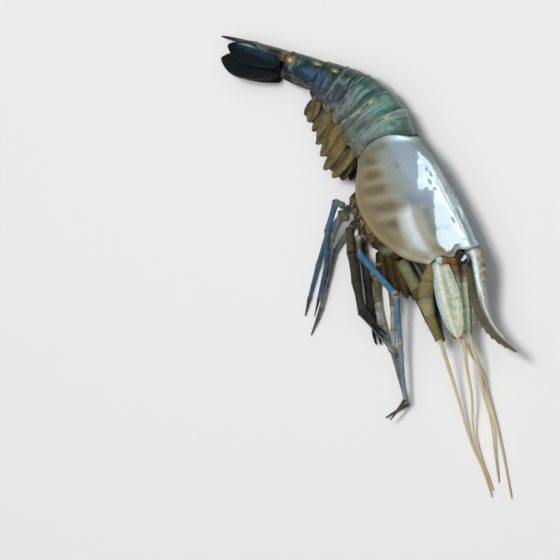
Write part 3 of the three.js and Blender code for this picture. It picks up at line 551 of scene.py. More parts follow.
# %% A wet surface
def wet_surface(name, mottle_mm, mottle, grain_mm, grain_depth_mm, roughness, inside=0.1, film=0.6,
                speck_mm=0.0, specks=0.0, ring_mm=0.0, ring_depth_mm=0.0, pooled=False, gloss=0.5):
    """Chitin under water. Mottle and specks darken and lighten the pigment, grain and rings are bump,
    roughness runs between two values with the mottling, inside is light that scatters below the skin,
    film is the water and gloss how strongly the chitin itself mirrors. Pooled water lies only where the
    run attribute is 1 and has drained elsewhere."""
    material, tree = new_material(name)
    place = add_node(tree, "ShaderNodeTexCoord")["Object"]
    pigment = add_node(tree, "ShaderNodeAttribute", attribute_name="pigment")["Color"]
    patches = add_node(tree, "ShaderNodeTexNoise", {"Vector": place, "Scale": 1000 / mottle_mm, "Detail": 4.0,
                                                    "Roughness": 0.6})["Fac"]
    shade = add_node(tree, "ShaderNodeMapRange", {"Value": patches, "From Min": 0.25, "From Max": 0.75,
                                                  "To Min": 1 - mottle, "To Max": 1 + mottle})["Result"]
    if specks:
        cell = add_node(tree, "ShaderNodeTexVoronoi", {"Vector": place, "Scale": 1000 / speck_mm})["Distance"]
        dot = add_node(tree, "ShaderNodeMapRange", {"Value": cell, "From Min": 0.1, "From Max": 0.45,
                                                    "To Min": 1 - specks, "To Max": 1.0})["Result"]
        shade = add_node(tree, "ShaderNodeMath", {0: shade, 1: dot}, operation="MULTIPLY")["Value"]
    colour = add_node(tree, "ShaderNodeVectorMath", {0: pigment, "Scale": shade}, operation="SCALE")["Vector"]
    rough = add_node(tree, "ShaderNodeMapRange", {"Value": patches, "From Min": 0.3, "From Max": 0.7,
                                                  "To Min": roughness[0], "To Max": roughness[1]})["Result"]
    grain = add_node(tree, "ShaderNodeTexNoise", {"Vector": place, "Scale": 1000 / grain_mm, "Detail": 3.0})
    relief = add_node(tree, "ShaderNodeBump", {"Height": grain["Fac"], "Strength": 1.0,
                                               "Distance": grain_depth_mm / 1000})["Normal"]
    if ring_mm or pooled:
        run = add_node(tree, "ShaderNodeAttribute", attribute_name="run")["Fac"]
    if ring_mm:
        turn = add_node(tree, "ShaderNodeMath", {0: run, 1: 2 * np.pi / ring_mm}, operation="MULTIPLY")
        wave = add_node(tree, "ShaderNodeMath", {0: turn["Value"]}, operation="SINE")["Value"]
        relief = add_node(tree, "ShaderNodeBump", {"Height": wave, "Strength": 1.0, "Normal": relief,
                                                   "Distance": ring_depth_mm / 1000})["Normal"]
    if pooled:  # dry and wet values of the film, the roughness and the gloss
        film, rough, gloss = [
            add_node(tree, "ShaderNodeMapRange", {"Value": run, "To Min": dry, "To Max": wet})["Result"]
            for dry, wet in ((0.1, film), (0.4, 0.1), (0.12, 0.5))]
    chitin = add_node(tree, "ShaderNodeBsdfPrincipled", {
        "Base Color": colour, "Roughness": rough, "Normal": relief, "IOR": 1.5, "Specular IOR Level": gloss,
        "Subsurface Weight": inside, "Subsurface Radius": (1.0, 0.8, 0.6), "Subsurface Scale": 0.0012,
        "Coat Weight": film, "Coat Roughness": 0.05, "Coat IOR": 1.33})["BSDF"]
    add_node(tree, "ShaderNodeOutputMaterial", {"Surface": chitin})
    print(name, "made")
    return material


# %% The finishes of this animal
# Head shell: thick, smooth chitin. Its broad clouds are 5 mm, the pigment cells 0.5 mm. Water pools on
# its shoulder and has drained from its flank, which sets the sharp, ragged outline of the window's glare.
shell_chitin = wet_surface("wet shell chitin", 5, 0.07, 1.6, 0.06, (0.16, 0.3), inside=0.25, film=1.0,
                           speck_mm=0.55, specks=0.08, pooled=True)
# Tail plates: the same chitin, densely dotted with dark pigment cells, so more mottled.
tail_chitin = wet_surface("wet tail chitin", 3, 0.22, 1.1, 0.07, (0.26, 0.42), inside=0.12, film=0.3,
                          speck_mm=0.5, specks=0.2, gloss=0.3)
# Leg shell: narrow tubes with a slightly pebbled skin, which breaks the water film up.
leg_chitin = wet_surface("pebbled leg chitin", 2, 0.16, 0.7, 0.06, (0.24, 0.42), inside=0.12, film=0.5,
                         speck_mm=0.45, specks=0.15, gloss=0.35)
# Gills, swimmerets and mouthparts: soft membrane, wet through and dull between its glints.
soft_membrane = wet_surface("soft gill membrane", 1.8, 0.3, 0.9, 0.16, (0.38, 0.6), inside=0.2, film=0.3,
                            gloss=0.3)
# Feelers: ringed horn, 0.7 mm to a ring. The rings catch the light as fine beads.
ringed_horn = wet_surface("ringed feeler horn", 4, 0.12, 0.6, 0.03, (0.35, 0.5), inside=0.1, film=0.35,
                          ring_mm=0.7, ring_depth_mm=0.08)
# Cornea: a smooth facetted film that looks like polished glass over black.
cornea = wet_surface("eye cornea", 2, 0.25, 0.25, 0.01, (0.06, 0.12), inside=0.0, film=1.0)

# %% [markdown]
# ## Building the head shell
# On the animal the shell is one piece from its rear rim to the rostrum, so it is one piece here, made of
# two skins: the shield and the blade. The shield's free edges are folded to a lip, which a cut-off
# surface would lack, and its front and rear are hollow. The marks on the flank are the gills that show
# through: five brown lobes with pale arcs between them, and ahead of them the milky liver.

# %% Relief of the head shell
def shell_lift(along, angle):
    """Height of the relief over the plain shell, mm: a bead along the free edge with a groove above
    it, a low keel on the back towards the rostrum, a groove round the liver and faint ripples."""
    bead = 0.28 * bump(np.abs(angle), 131, 3.5) - 0.3 * bump(np.abs(angle), 123, 4)
    keel = 1.1 * bump(angle, 0, 6) * above(along, 34, 16)
    rear = 0.25 * bump(along, SHELL_REAR + 1.2, 1.2) - 0.25 * bump(along, SHELL_REAR + 4.2, 1.6)
    liver = -0.06 * bump(along - 33 - 0.16 * (np.abs(angle) - 40), 0, 1.6) * bump(np.abs(angle), 72, 34)
    ripple = 0.35 * (clouds(along / 9, angle / 26, 5) - 0.5)
    ripple += 0.09 * (clouds(along / 2.6, angle / 8, 6) - 0.5)
    shoulder = -0.9 * bump(np.abs(angle), 44, 20) * above(along, 2, 8) * below(along, 56, 12)
    front = 0.3 * bump(along, SHELL_FRONT - 0.8, 0.9) - 0.25 * bump(along, SHELL_FRONT - 3, 1.2)
    return -SKIN_INSET - 0.15 + bead + keel + rear + liver + ripple + shoulder + front


print("keel height, mm:", round(float(shell_lift(55.0, 0.0)), 2))

# %% Pigment of the head shell
# Along, angle, length and width of the brown gills; along and angle of the pale arcs between them.
GILL_MARKS = [(1.9, 100, 2.3, 13), (8.6, 100, 2.6, 14), (16, 102, 2.9, 16), (26.6, 100, 3.1, 17),
              (36, 104, 3.2, 12)]
GILL_ARCS = [(5.4, 98), (12.5, 100), (21.2, 100), (31.4, 105)]


def shell_pigment(along, angle):
    """Colours over the shield. Each mark is a bell in along (mm) and angle (degrees)."""
    side = np.abs(angle)
    slanted = [(place, along + 0.2 * (side - middle), middle, *size) for place, middle, *size in
               GILL_ARCS + GILL_MARKS]
    arcs, gills = slanted[:len(GILL_ARCS)], slanted[len(GILL_ARCS):]
    off = side - 84 - 1.26 * (along - 34)  # across the oblique liver, in degrees
    milk = above(off, -13, 5) * below(off, 14, 10) * above(along, 30, 5) * below(along, 61, 4)
    core = bump(off, -5, 7) * above(along, 32, 5) * below(along, 59, 5)
    tan = above(along, 36.5, 2) * below(along, 55, 5)
    violet = above(side, 40, 8) * below(side, 74, 8) * bump(along + 0.22 * (side - 56), 33.4, 4)
    # painted highlight: a ragged pale blue-white band on the right shoulder stands in for the window's glare
    painted_highlight_band = above(angle, 1, 5) * below(angle, 24, 8) * above(along, 17, 4) * below(along, 48, 6)
    behind = below(along, 56, 12)
    base = tint(
        flat_pigment(along.shape, "#8c9a9b"),
        ("#8d9cab", bump(side, 42, 24) * below(along, 48, 18)),
        ("#74828c", 0.8 * bump(along, 5, 5) * bump(side, 44, 14)),
        ("#8c968d", 0.9 * bump(side, 74, 14)),
        ("#978d78", above(side, 78, 14)),
        ("#867a5f", 0.85 * above(side, 106, 16) * below(along, 54, 12)),
        ("#a3a18a", 0.8 * above(along, 42, 10) * above(side, 84, 20)),
        ("#6c6f60", 0.8 * bump(along, -2, 4) * above(side, 54, 20)),
        *[("#a89f8a", 0.6 * (bump(at, place, 1.1) * bump(side, middle - 2, 17)))
          for place, at, middle in arcs],
        *[("#675a44", 0.8 * np.minimum(1, 1.25 * bump(at, place, length) * bump(side, middle, width)))
          for place, at, middle, length, width in gills],
        ("#b5bcb2", 0.9 * milk),
        ("#d3d9e2", 0.95 * core),
        ("#5f6b54", 0.9 * tan * bump(off, -33, 9)),
        ("#a3937a", 0.8 * tan * bump(off, -19.5, 5.5)),
        ("#767c90", 0.8 * violet),
        ("#8a8460", 0.7 * bump(along, 57, 4) * bump(side, 84, 10)),
        ("#7a5c30", 0.85 * bump(along, 60.8, 2.2) * bump(side, 74, 14)),
        ("#a9bfc6", 0.9 * bump(along, 60.6, 1.6) * bump(side, 108, 5)),
        ("#7a6b5c", 0.6 * bump(along, 11.8, 1.6) * bump(side, 63, 4)),
        ("#adaf98", 0.85 * above(along, 45, 8) * above(side, 102, 12)),
        ("#c9c9b0", 0.8 * above(along, SHELL_FRONT - 2, 1.4) * above(side, 108, 8)),
        ("#a3946f", 0.6 * bump(side, 131, 3)),
        # painted highlight: a pale blue glint along the shell's rear rim on the back
        ("#bfd3d6", 0.85 * bump(along, SHELL_REAR + 2.2, 2.4) * bump(side, 26, 26)),
        # painted highlight on the right shoulder, beside the pooled water
        ("#c6d4dc", 0.75 * painted_highlight_band * above(clouds(along / 3, angle / 7, 13), 0.3, 0.2)),
        ("#6f7866", 0.85 * below(angle, 4, 12) * behind),
        ("#4f5a4c", 0.6 * bump(angle, -22, 10) * behind),
        ("#6f7468", 0.15 * above(clouds(along / 1.3, side / 4, 11), 0.62, 0.12)))
    return marble(base, 0.92, 1.08, clouds(along / 4, side / 12, 21))


print("gill marks:", len(GILL_MARKS))

# %% Where the water lies
pool_lower = profile([[4, 6], [6, 20], [9.6, 28], [19, 40], [26.8, 52], [28.8, 50], [31.5, 38], [36.4, 42],
                      [42.2, 52], [49.7, 67], [53, 76], [58.5, 81], [61, 72]])
pool_upper = profile([[6, 18], [11, 13], [22, 6], [35.6, -7], [43, -4], [52, 11], [60, 24]])
DRY_STREAKS = [(20.5, 27, 1.3, 2.6), (23.4, 24, 1.9, 2.2), (27, 32, 2.2, 2.6), (29.8, 42, 1.3, 4),
               (31.3, 30, 1.2, 3.4), (32.4, 36, 1.1, 2.6), (46.5, 20, 1.2, 2.6), (49.3, 31, 1.8, 2.6)]


def pool(along, angle):
    """1 under the water that has pooled on the right shoulder: between two edges given by angles, whose
    outlines are ragged by clouds, less a few dry streaks."""
    ragged = 5 * (clouds(along / 2.2, angle / 9, 15) - 0.5)
    wet = below(angle, pool_lower(along) + ragged, 2.5) * above(angle + ragged, pool_upper(along), 3)
    wet *= above(along, 5.5, 1.2) * below(along, 60.3, 0.8)
    for place, middle, length, width in DRY_STREAKS:
        wet *= 1 - ease(2.2 * bump(along, place, length) * bump(angle + ragged, middle, width) - 0.4)
    rim = 0.9 * bump(along, SHELL_REAR + 1.8, 2) * bump(angle + ragged, 22, 24)
    left = 0.8 * above(-angle, 30, 6) * above(along, 6, 3)
    return np.clip(wet + rim + left, 0, 1)


print("wet at the shoulder:", float(pool(45.0, 30.0).round(2)))

# %% The shield
# The folded lip's points, mm in from the free edge and up from it.
RIM_IN = np.array([0.2, 0.5, 0.9, 1.2, 1.4, 4.0])
RIM_RISE = np.array([-0.12, -0.15, 0.15, 0.7, 1.4, 2.0])
# How each end turns in: the rim's size as a share, and how far it lies from the edge, mm.
REAR_TURN = [(0.75, 1.6), (0.4, 2.0), (0.12, 2.2), (0.07, 1.6), (0.04, 0.3), (0.015, 0.05)]
FRONT_TURN = [(0.008, 0.02), (0.022, 0.2), (0.045, 0.7), (0.08, 1.8), (0.14, 4)]


def shield():
    """Rings from the rear rim to the front: over the back by angle, then under by the folded lip.
    Each end turns in over its rim and runs to a sunken pole."""
    a, t = np.meshgrid(np.linspace(SHELL_REAR + GAP, SHELL_FRONT, 176),
                       np.linspace(-FLANK_END, FLANK_END, 211), indexing="ij")
    along = a[:, :1]
    out, up = shell_section(along, FLANK_END)
    under_out = np.hstack([out - RIM_IN, 0 * out, (RIM_IN - out)[:, ::-1]])
    under_up = np.hstack([up + RIM_RISE, up + 2 * LIP, (up + RIM_RISE)[:, ::-1]])
    under = (along + edge_shift(along, under_up), under_out, under_up)
    body = [np.hstack(pair) for pair in zip(shell_point(a, t, shell_lift(a, t)), under)]
    axis, rear_pole, front_pole = (1, 0, 0), (SHELL_REAR + GAP + 1, 0, 0), (SHELL_FRONT - 8, 0, 3)
    rows = []
    for k, part in enumerate(body):
        first, last = part[0], part[-1]
        rear = [lerp(first, rear_pole[k], share) + axis[k] * back for share, back in REAR_TURN]
        front = [last - back if k == 0 else lerp(last, front_pole[k], share) for share, back in FRONT_TURN]
        deep = [lerp(front[-1], front_pole[k], share) for share in (0.4, 0.8)]
        rows.append(np.vstack([*rear, part, *front, *deep]))
    water = np.hstack([pool(a, t), np.zeros(under_out.shape)])
    water = np.pad(water, ((len(REAR_TURN), len(FRONT_TURN) + 2), (0, 0)))
    pigment = np.concatenate([shell_pigment(a, t), flat_pigment(under_out.shape, "#6d5a3c")], axis=1)
    inner = flat_pigment((1, pigment.shape[1]), "#4a3c28")
    pigment = np.vstack([*[inner] * 4, *[pigment[:1]] * 2, pigment, *[pigment[-1:]] * 2, *[inner] * 5])
    return skin(body_point(*rows), pigment, run=water)


print("shield ready")

# %% Sizes of the rostrum
ROSTRUM_ROOT, ROSTRUM_TIP = 50, 122
TOOTH_PITCH, UPPER_TOOTH, LOWER_TOOTH, LOWER_TEETH_START = 4, 1.2, 0.8, 85
rostrum_top = profile([[50, 16.4], [62, 16.6], [69, 16.8], [76, 14.8], [84, 10], [92, 5.2], [99, 3.7],
                       [108, 4.5], [122, 8.6]])
rostrum_ridge = profile([[50, 14], [60, 14.2], [69, 11.4], [79, 7.4], [89, 3.9], [99, 2.6], [109, 3.4],
                         [122, 8]])
rostrum_bottom = profile([[50, 10], [62, 9], [69, 7], [76, 3.2], [83, 0.4], [92, -2.3], [101, -2.4],
                          [110, -0.2], [122, 6.8]])
rostrum_half = profile([[50, 4.4], [62, 3.2], [77, 2], [98, 1.5], [122, 0.7]])
EDGE_HALF = 0.22  # half the blade's thickness at its crest and its lower edge


def tooth(along):
    """A saw: each tooth swells slowly to its tip at 0.78 of the pitch and drops at once."""
    share = (along - ROSTRUM_ROOT) / TOOTH_PITCH % 1
    return np.where(share < 0.78, (share / 0.78) ** 1.8, np.clip((1 - share) / 0.22, 0, 1) ** 2.2)


def rostrum():
    """The toothed blade: down each side from the crest to the ridge and on to the lower edge. The side
    is hollow above the ridge (a power of 2.2) and slopes below it (a power of 1.3)."""
    along = np.linspace(ROSTRUM_ROOT, ROSTRUM_TIP, 520)[:, None]
    teeth = tooth(along) * below(along, ROSTRUM_TIP, 5)
    top = rostrum_top(along) + UPPER_TOOTH * teeth * (1 - 0.7 * above(along, 80, 8))
    bottom = rostrum_bottom(along) - LOWER_TOOTH * teeth * above(along, LOWER_TEETH_START, 4)
    ridge = rostrum_ridge(along)
    v = np.linspace(-1, 1, 27)[None]  # 1 at the crest, 0 at the ridge, -1 at the lower edge
    distance = np.abs(v)
    side = (1 - distance) ** np.where(v > 0, 2.2, 1.3)
    out = EDGE_HALF * np.sqrt(np.maximum(1 - v ** 6, 0)) + (rostrum_half(along) - EDGE_HALF) * side
    up = lerp(ridge, np.where(v > 0, top, bottom), distance)
    height = v + 0 * out
    out, up, height = (np.hstack([right, left[:, ::-1]])
                       for right, left in ((out, -out), (up, up), (height, height)))
    a = along + 0 * out
    line = bump(height, lerp(0.27, 0.62, above(a, 80, 10)), 0.13)  # the white line along the blade
    pigment = tint(
        flat_pigment(a.shape, "#a9b0a4"),
        ("#9c947c", above(height, 0.2, 0.3)),
        ("#5a4526", 0.8 * above(height, 0.8, 0.12) * below(a, 90, 6)),
        ("#34453a", 0.95 * below(height, 0.14, 0.12)),
        ("#655841", above(-height, 0.35, 0.25)),
        ("#655e4c", 0.8 * above(a, 84, 6) * below(height, 0.5, 0.3)),
        ("#c3d4d4", 0.95 * line * below(a, 118, 8)),
        ("#c2cac2", 0.85 * below(a, 72, 6) * below(height, 0.8, 0.3)),
        ("#5f4424", 0.7 * above(height, 0.5, 0.3) * above(a, 70, 4)
         * above(clouds(a / 1.1, height * 2, 33), 0.5, 0.1)))
    pigment = marble(pigment, 0.85, 1.15, clouds(a / 1.6, height * 3, 31))
    wet = lerp(0.04, 0.5, line) * lerp(0.4, 1, below(a, 92, 12)) * below(a, 116, 20)
    return skin(body_point(a, out, up), pigment, run=wet, start=body_point(ROSTRUM_ROOT + 1, 0, 14),
                end=body_point(ROSTRUM_TIP, 0, rostrum_ridge(ROSTRUM_TIP)))


add_piece("head_shell", [shield(), rostrum()], shell_chitin, "carapace")

# %% [markdown]
# ## The breast and the mouth
# Between the shell's two lower edges lies the breast, where the legs are rooted. On a real prawn it is
# a row of knobs, one for each leg's root, in brown and amber with pale seams. A lofted bar with bells
# added at the legs' places gives those knobs without a single separate part. The mouth is a small dark
# heap of folded plates, so its skin gets deep waves.

# %% The breast
THORAX_REAR, THORAX_FRONT, THORAX_DEPTH = 9, 49, 9.5
LEG_PLACES = [44, 36, 27, 19, 11]


def breast():
    """Rings along the breast: a flat bar, rounded below, with a bell at each leg's root."""
    along = np.linspace(THORAX_REAR, THORAX_FRONT, 130)[:, None]
    angle = around(96)[None]
    edge_out, edge_up = shell_section(along, FLANK_END)
    across = np.sign(np.cos(angle)) * np.abs(np.cos(angle)) ** 0.45
    rise = np.sign(np.sin(angle)) * np.abs(np.sin(angle)) ** 0.7
    knobs = sum(bump(along, place, 2.4) for place in LEG_PLACES)
    side = above(np.abs(across), 0.35, 0.4)
    low_side = side * ease(-rise)
    seams = 0.35 * np.sin(along * 2.6 + 3 * across) * low_side
    half = edge_out - LIP - 1.5 - 3.6 * np.clip(-rise, 0, 1) ** 3 - 0.9 * (1 - knobs) * low_side + seams
    up = edge_up + np.where(rise > 0, 0.9, THORAX_DEPTH - 0.8 + 0.8 * knobs * side) * rise
    a = along + 0 * half
    squiggle = np.sin(30 * clouds(a / 4.5, angle * 1.2, 40))
    pigment = tint(
        flat_pigment(a.shape, "#3f3017"),
        ("#75643a", 0.8 * above(squiggle, 0.2, 0.4)),
        ("#a39668", 0.35 * above(clouds(a / 1.2, angle * 5, 41), 0.6, 0.1)),
        ("#33240f", 0.85 * above(a, 33, 6)),
        ("#1f160b", 0.7 * above(clouds(a / 1.7, angle * 4, 45), 0.6, 0.1)),
        ("#7f8868", 0.8 * bump(a - 3.4 * rise, 44, 2.2) * above(a, 32, 4)))
    return skin(body_point(a, across * half, up), pigment)


BREAST_FLAPS = [  # along, out, down, turn, length, width, colour
    (40, 4, 7, -24, 19, 7, "#2c2110"), (45, 4.5, 6, -20, 20, 7.5, "#302410"),
    (49, 5, 5, -16, 20, 7.5, "#382b15"), (52, 2, 5, -10, 22, 9, "#2a1e0e"),
    (42, -4, 7, -22, 16, 6.5, "#2c2110"), (48, -4.5, 5, -16, 17, 7, "#33280f")]


def breast_flaps():
    """Soft brown flaps of the feeding limbs' roots, which hang from the breast's front on both sides."""
    made = []
    for i, (place, out, down, turn, length, width, shade) in enumerate(BREAST_FLAPS):
        root = body_point(place, out, shell_section(place, FLANK_END)[1] - down, 4)
        lobe, t, side = leaf_rings(root, heading(HEADING + turn, -12), (0.86, 0.4, 0.1), length, width * 0.7,
                                   width, 0.45, 3.4, rows=60, sides=44, ribs=0.12, rib_count=5, edge=0.95)
        colour = tint(flat_pigment(t.shape, shade), ("#5c4d2c", 0.45 * bump(side, 0.1, 0.3)),
                      ("#1f160b", 0.7 * above(np.abs(side), 0.6, 0.3)))
        made.append(skin(lobe, marble(colour, 0.6, 1.3, clouds(t * 6 + i, side * 3, 47))))
    return made


add_piece("breast", [breast(), *breast_flaps()], soft_membrane, "thorax")

# %% The mouth
mouth_size = profile([[61, 0.7], [66, 1], [72, 0.85], [77, 0.4]])


def mouth():
    """Ovals along the mouth whose size waves as folded plates do."""
    along = np.linspace(61.5, 77.6, 70)[:, None]
    angle = around(60)[None]
    wave = np.sin(5 * angle + along * 0.5)
    folds = 0.9 + 0.07 * wave + 0.05 * np.sin(along * 2.2)
    size = mouth_size(along) * folds * np.sqrt(np.clip((77.8 - along) / 3, 0, 1))
    pigment = tint(flat_pigment(size.shape, "#4a3820"), ("#9a8658", 0.7 * above(wave, 0.3, 0.5)))
    return skin(body_point(along, 3.6 * size * np.cos(angle), -11.4 + 6 * size * np.sin(angle)), pigment)


add_piece("mouth", [mouth()], soft_membrane, "mouthparts")

# %% [markdown]
# ## The tail plates
# Each tail segment is its own hard ring, hinged to the next by soft skin. The six are made by one
# function, because they differ only in size. The front of each is drawn in and slips under the rim
# ahead, the rear rim is raised and turned over, and the lobe at each side ends in a folded edge. Fine
# pale lines run round each plate, partly pigment and partly painted highlight for the glints on the
# wet chitin, and gold spots sit by the rims: both are bells and clouds stretched round the girth.

# %% Pigment of the tail
BACK_HEX = ["#78978f", "#64908a", "#4a7670", "#1d3730", "#14251d", "#14221c"]
FLANK_HEX = ["#6a7973", "#65756f", "#58665f", "#44505a", "#3d4658", "#17262c"]
LOBE_HEX = ["#5f5638", "#5c5434", "#564c2c", "#4f4124", "#3a2c1e", "#1f1818"]
GOLD_SPOTS = [  # for each plate: t, girth, length and width
    [(0.84, 0.48, 0.08, 0.05)], [(0.84, 0.62, 0.08, 0.06), (0.84, 0.98, 0.06, 0.04)], [], [],
    [(0.2, 0.5, 0.22, 0.06)], [(0.14, 0.44, 0.13, 0.07), (0.87, 0.68, 0.08, 0.16)]]


def somite_pigment(index, t, girth):
    """Colours of a tail plate over its length t and its girth (0 back, 1 widest line, 2 lobe edge)."""
    side = np.abs(girth)
    rear = index > 3  # the two rear plates are darker and bluer
    lines = clouds(t * 9 + 0.4 * side, side * 1.6 + index * 3, 51)
    base = tint(
        flat_pigment(t.shape, BACK_HEX[index]),
        (FLANK_HEX[index], above(side, 0.55, 0.5)),
        (LOBE_HEX[index], above(side, 1.55, 0.4)),
        ("#22302c", (0.55 if index else 0.25) * below(side, 0.34, 0.3)),
        # pale lines: pigment, and painted highlight where the wet plates glint
        ("#8fa8a4", (0.34 if rear else 0.65) * above(lines, 0.56, 0.2) * above(side, 0.12, 0.2)
         * below(side, 1.5, 0.4)),
        ("#182624", 0.6 * below(lines, 0.45, 0.2)),
        ("#1d4034", 0.55 * above(clouds(t * 2 + index, side * 3, 55), 0.5, 0.15) * below(side, 0.9, 0.4)),
        ("#6a6450", 0.45 * above(clouds(t * 2.5, side * 3 + index, 56), 0.5, 0.15) * above(side, 0.9, 0.4)),
        ("#8a98a4", (0.2 if rear else 0.4) * above(clouds(t * 3, side * 4 + index * 5, 57), 0.58, 0.1)
         * above(side, 0.5, 0.3)),
        ("#1c2b28", 0.5 * bump(t, 0.1, 0.1) * below(side, 1.6, 0.4)))
    if index < 3:
        flecks = above(clouds(side * 6, t + index, 61), 0.4, 0.2)
        base = tint(base, ("#a9bcae", 0.5 * bump(t, 0.94, 0.03) * flecks))
    for place, middle, length, width in GOLD_SPOTS[index]:
        ring = bump(t, place, length) * bump(side, middle, width)
        ring = 1.3 * ring * lerp(0.55, 1.2, clouds(t * 16, side * 14, 59))
        heart = bump(t, place, length * 0.45) * bump(side, middle + 0.05, width * 0.4)
        base = tint(base, ("#b98a3c" if place > 0.86 else "#a8984a", np.minimum(0.9, ring)),
                    ("#dfe0cc", 0.9 * heart))
    if index == 4:
        base = tint(base, ("#3a5f86", 0.6 * bump(t, 0.85, 0.35) * bump(side, 0.95, 0.25)))
    if index == 5:
        ragged = above(clouds(t * 7, side * 5, 58), 0.3, 0.25)
        base = tint(
            base,
            ("#33628a", 0.85 * bump(t, 0.1 + 0.12 * side, 0.24) * bump(side, 1.05, 0.34) * ragged),
            ("#8fa3b0", 0.5 * bump(t, 0.8, 0.05) * bump(side, 1.05, 0.2)))
    base = tint(base, ("#8a6434", (0.05 if rear else 0.2) * bump(side, 1.9, 0.12) * bump(t, 0.5, 0.35)))
    return marble(base, 0.85, 1.15, clouds(t * 5, side * 7 + index, 65))


# %% The six plates
# The folded lobe's points, mm in from its edge and up from it, and the plate's rear: the size as a
# share, and how far it lies ahead of the rim.
LOBE_IN, LOBE_RISE = np.array([0.3, 0.8, 1.2, 1.9, 3.0]), np.array([-0.1, 0.1, 0.5, 1.4])
PLATE_TURN = [(0.985, 0.3), (0.96, 1.2), (0.93, 1.5), (0.5, 1.5)]


def somite(index):
    """Rings along the plate: over the back and down both lobes by girth, then under the belly. The
    radius drops where the plate slips under the one ahead and rises at its rear rim."""
    t = np.r_[np.linspace(-0.1, 1, 74), 1.004][:, None]
    tt, gg = np.broadcast_arrays(t, np.linspace(-2, 2, 161)[None])
    tuck = -0.75 * below(tt, 0.03, 0.09)
    rim = 0.16 * bump(tt, 0.95, 0.05) - 0.1 * bump(tt, 0.84, 0.05) - 0.22 * above(tt, 0.985, 0.02)
    bead = 0.25 * bump(np.abs(gg), 1.93, 0.07) - 0.25 * bump(np.abs(gg), 1.78, 0.07)
    ripple = 0.25 * (clouds(tt * 4, gg * 3 + index, 71) - 0.5)
    lift = -SKIN_INSET + tuck + rim + bead * (1 - below(tt, 0.06, 0.1)) + ripple
    half, _, sternum, lobe = somite_size(index, t)
    edge_out, edge_up = half * 0.8, -(sternum + lobe)
    under_out = np.hstack([edge_out - LOBE_IN, 0 * half, (LOBE_IN - edge_out)[:, ::-1]])
    fold = np.hstack([edge_up + LOBE_RISE, -sternum])
    under_up = np.hstack([fold, -sternum - 0.2 + 0.35 * np.cos(2 * np.pi * t), fold[:, ::-1]])
    under = (lerp(*somite_edges(index, under_up), t), under_out, under_up)
    rows = [np.hstack(pair) for pair in zip(somite_point(index, tt, gg, lift), under)]
    middle = (rows[0][-1].mean(), 0, 0)
    for k, ahead in enumerate((1, 0, 0)):
        turned_in = [lerp(middle[k], rows[k][-1], share) + ahead * mm for share, mm in PLATE_TURN]
        rows[k] = np.vstack([rows[k], *turned_in])
    belly = flat_pigment(under_out.shape, "#6f6444" if index < 4 else "#2c2620")
    pigment = np.concatenate([somite_pigment(index, tt, gg), belly], axis=1)
    inner = flat_pigment((len(PLATE_TURN), pigment.shape[1]), "#4b4a38")
    return skin(body_point(*rows), np.vstack([pigment, inner]))


for i in range(len(SOMITE_LENGTHS)):
    add_piece(f"tail_plate_{i + 1}", [somite(i)], tail_chitin, f"somite_{i + 1}")

# %% [markdown]
# ## The tail fan
# A central spine-tipped plate, the telson, stands over two pairs of blades. The blades are thin and
# fringed with hair that spreads them in the water. A leaf with ribs gives each blade, and a row of small
# cones gives the fringe: a flat card with a hair picture would be lighter, but it would vanish edge on.

# %% Telson
TAIL = SHELL_REAR - JOINTS[-1] - GAP
telson_half = profile([[0, 5.2], [5, 5.6], [16, 4.4], [28, 2.4], [31, 1.1], [37, 0.35]])
telson_height = profile([[0, 3.6], [5, 3.6], [16, 2.8], [31, 1.3], [37, 0.5]])
telson_floor = profile([[0, 2.8], [12, 2.8], [38, 2.4]])


def telson():
    """An arch that tapers to a spine. Its upper side is a power of 0.72 of the sine, with a low groove
    along the middle and a keel each side of it; its belly bulges at the root."""
    back = np.linspace(-1.5, 37.6, 170)[:, None]
    angle = around(72)[None]
    taper = np.clip((38 - back) / 3, 0, 1) ** 0.6
    side, rise = np.cos(angle) + 0 * back, np.sin(angle)
    keels = 0.22 * bump(np.abs(side), 0.42, 0.14) - 0.2 * bump(side, 0, 0.14)
    crown = np.abs(rise) ** 0.72 * telson_height(back) * taper + keels * below(back, 36, 10)
    belly = rise * (0.6 + 1.5 * below(back, 27, 14))
    pigment = tint(
        flat_pigment(side.shape, "#16241f"),
        ("#28382e", above(back, 4, 8) * above(side, -0.5, 0.6)),
        ("#6f6650", 0.8 * bump(side, 0.3, 0.3) * bump(back, 19, 7)),
        ("#6d7d88", 0.7 * bump(side, 0.95, 0.12) * above(back, 8, 6)),
        ("#a08648", 0.75 * bump(back, 1.5, 1.6) * bump(side, 0.75, 0.25)),
        ("#2b3336", above(back, 24, 6)),
        ("#c7b36a", 0.8 * bump(back, 9, 1.6) * bump(side, 0.2, 0.22)))
    up = telson_floor(back) + np.where(rise > 0, crown, belly)
    return skin(body_point(TAIL - back, telson_half(back) * taper * side, up),
                marble(pigment, 0.75, 1.2, clouds(back / 3, side * 3, 81)))


def telson_spines():
    """Two pairs of small movable spines on the telson's back and the pair beside its tip."""
    back, across, high = np.repeat([[17, 24, 31.5], [0.7, 0.65, 0.8], [0.75, 0.75, 0.2]], 2, axis=1)
    out = telson_half(back) * across * [1, -1, 1, -1, 1, -1]
    up = telson_floor(back) + telson_height(back) * high
    base = body_point(TAIL - back, out, up)
    tip = body_point(TAIL - back - 1.6, out * 1.1, up + 0.25)
    return hairs(base, tip - base, 1.7, 0.22, "#a08a5c")


add_piece("telson_plate", [telson(), telson_spines()], tail_chitin, "telson")

# %% Blades beside it
UROPODS = {  # out and up of the root, rise, lean, length, root width, width
    "outer": (5.4, -6.7, -0.03, 0.4, 30.9, 6.4, 14.1), "inner": (6.6, -1.2, 0.03, 0.6, 29.4, 5, 12.3)}
UNDER_OUT, UNDER_LEAN = 0.8, 0.45  # on the left the blades are pressed in by the table


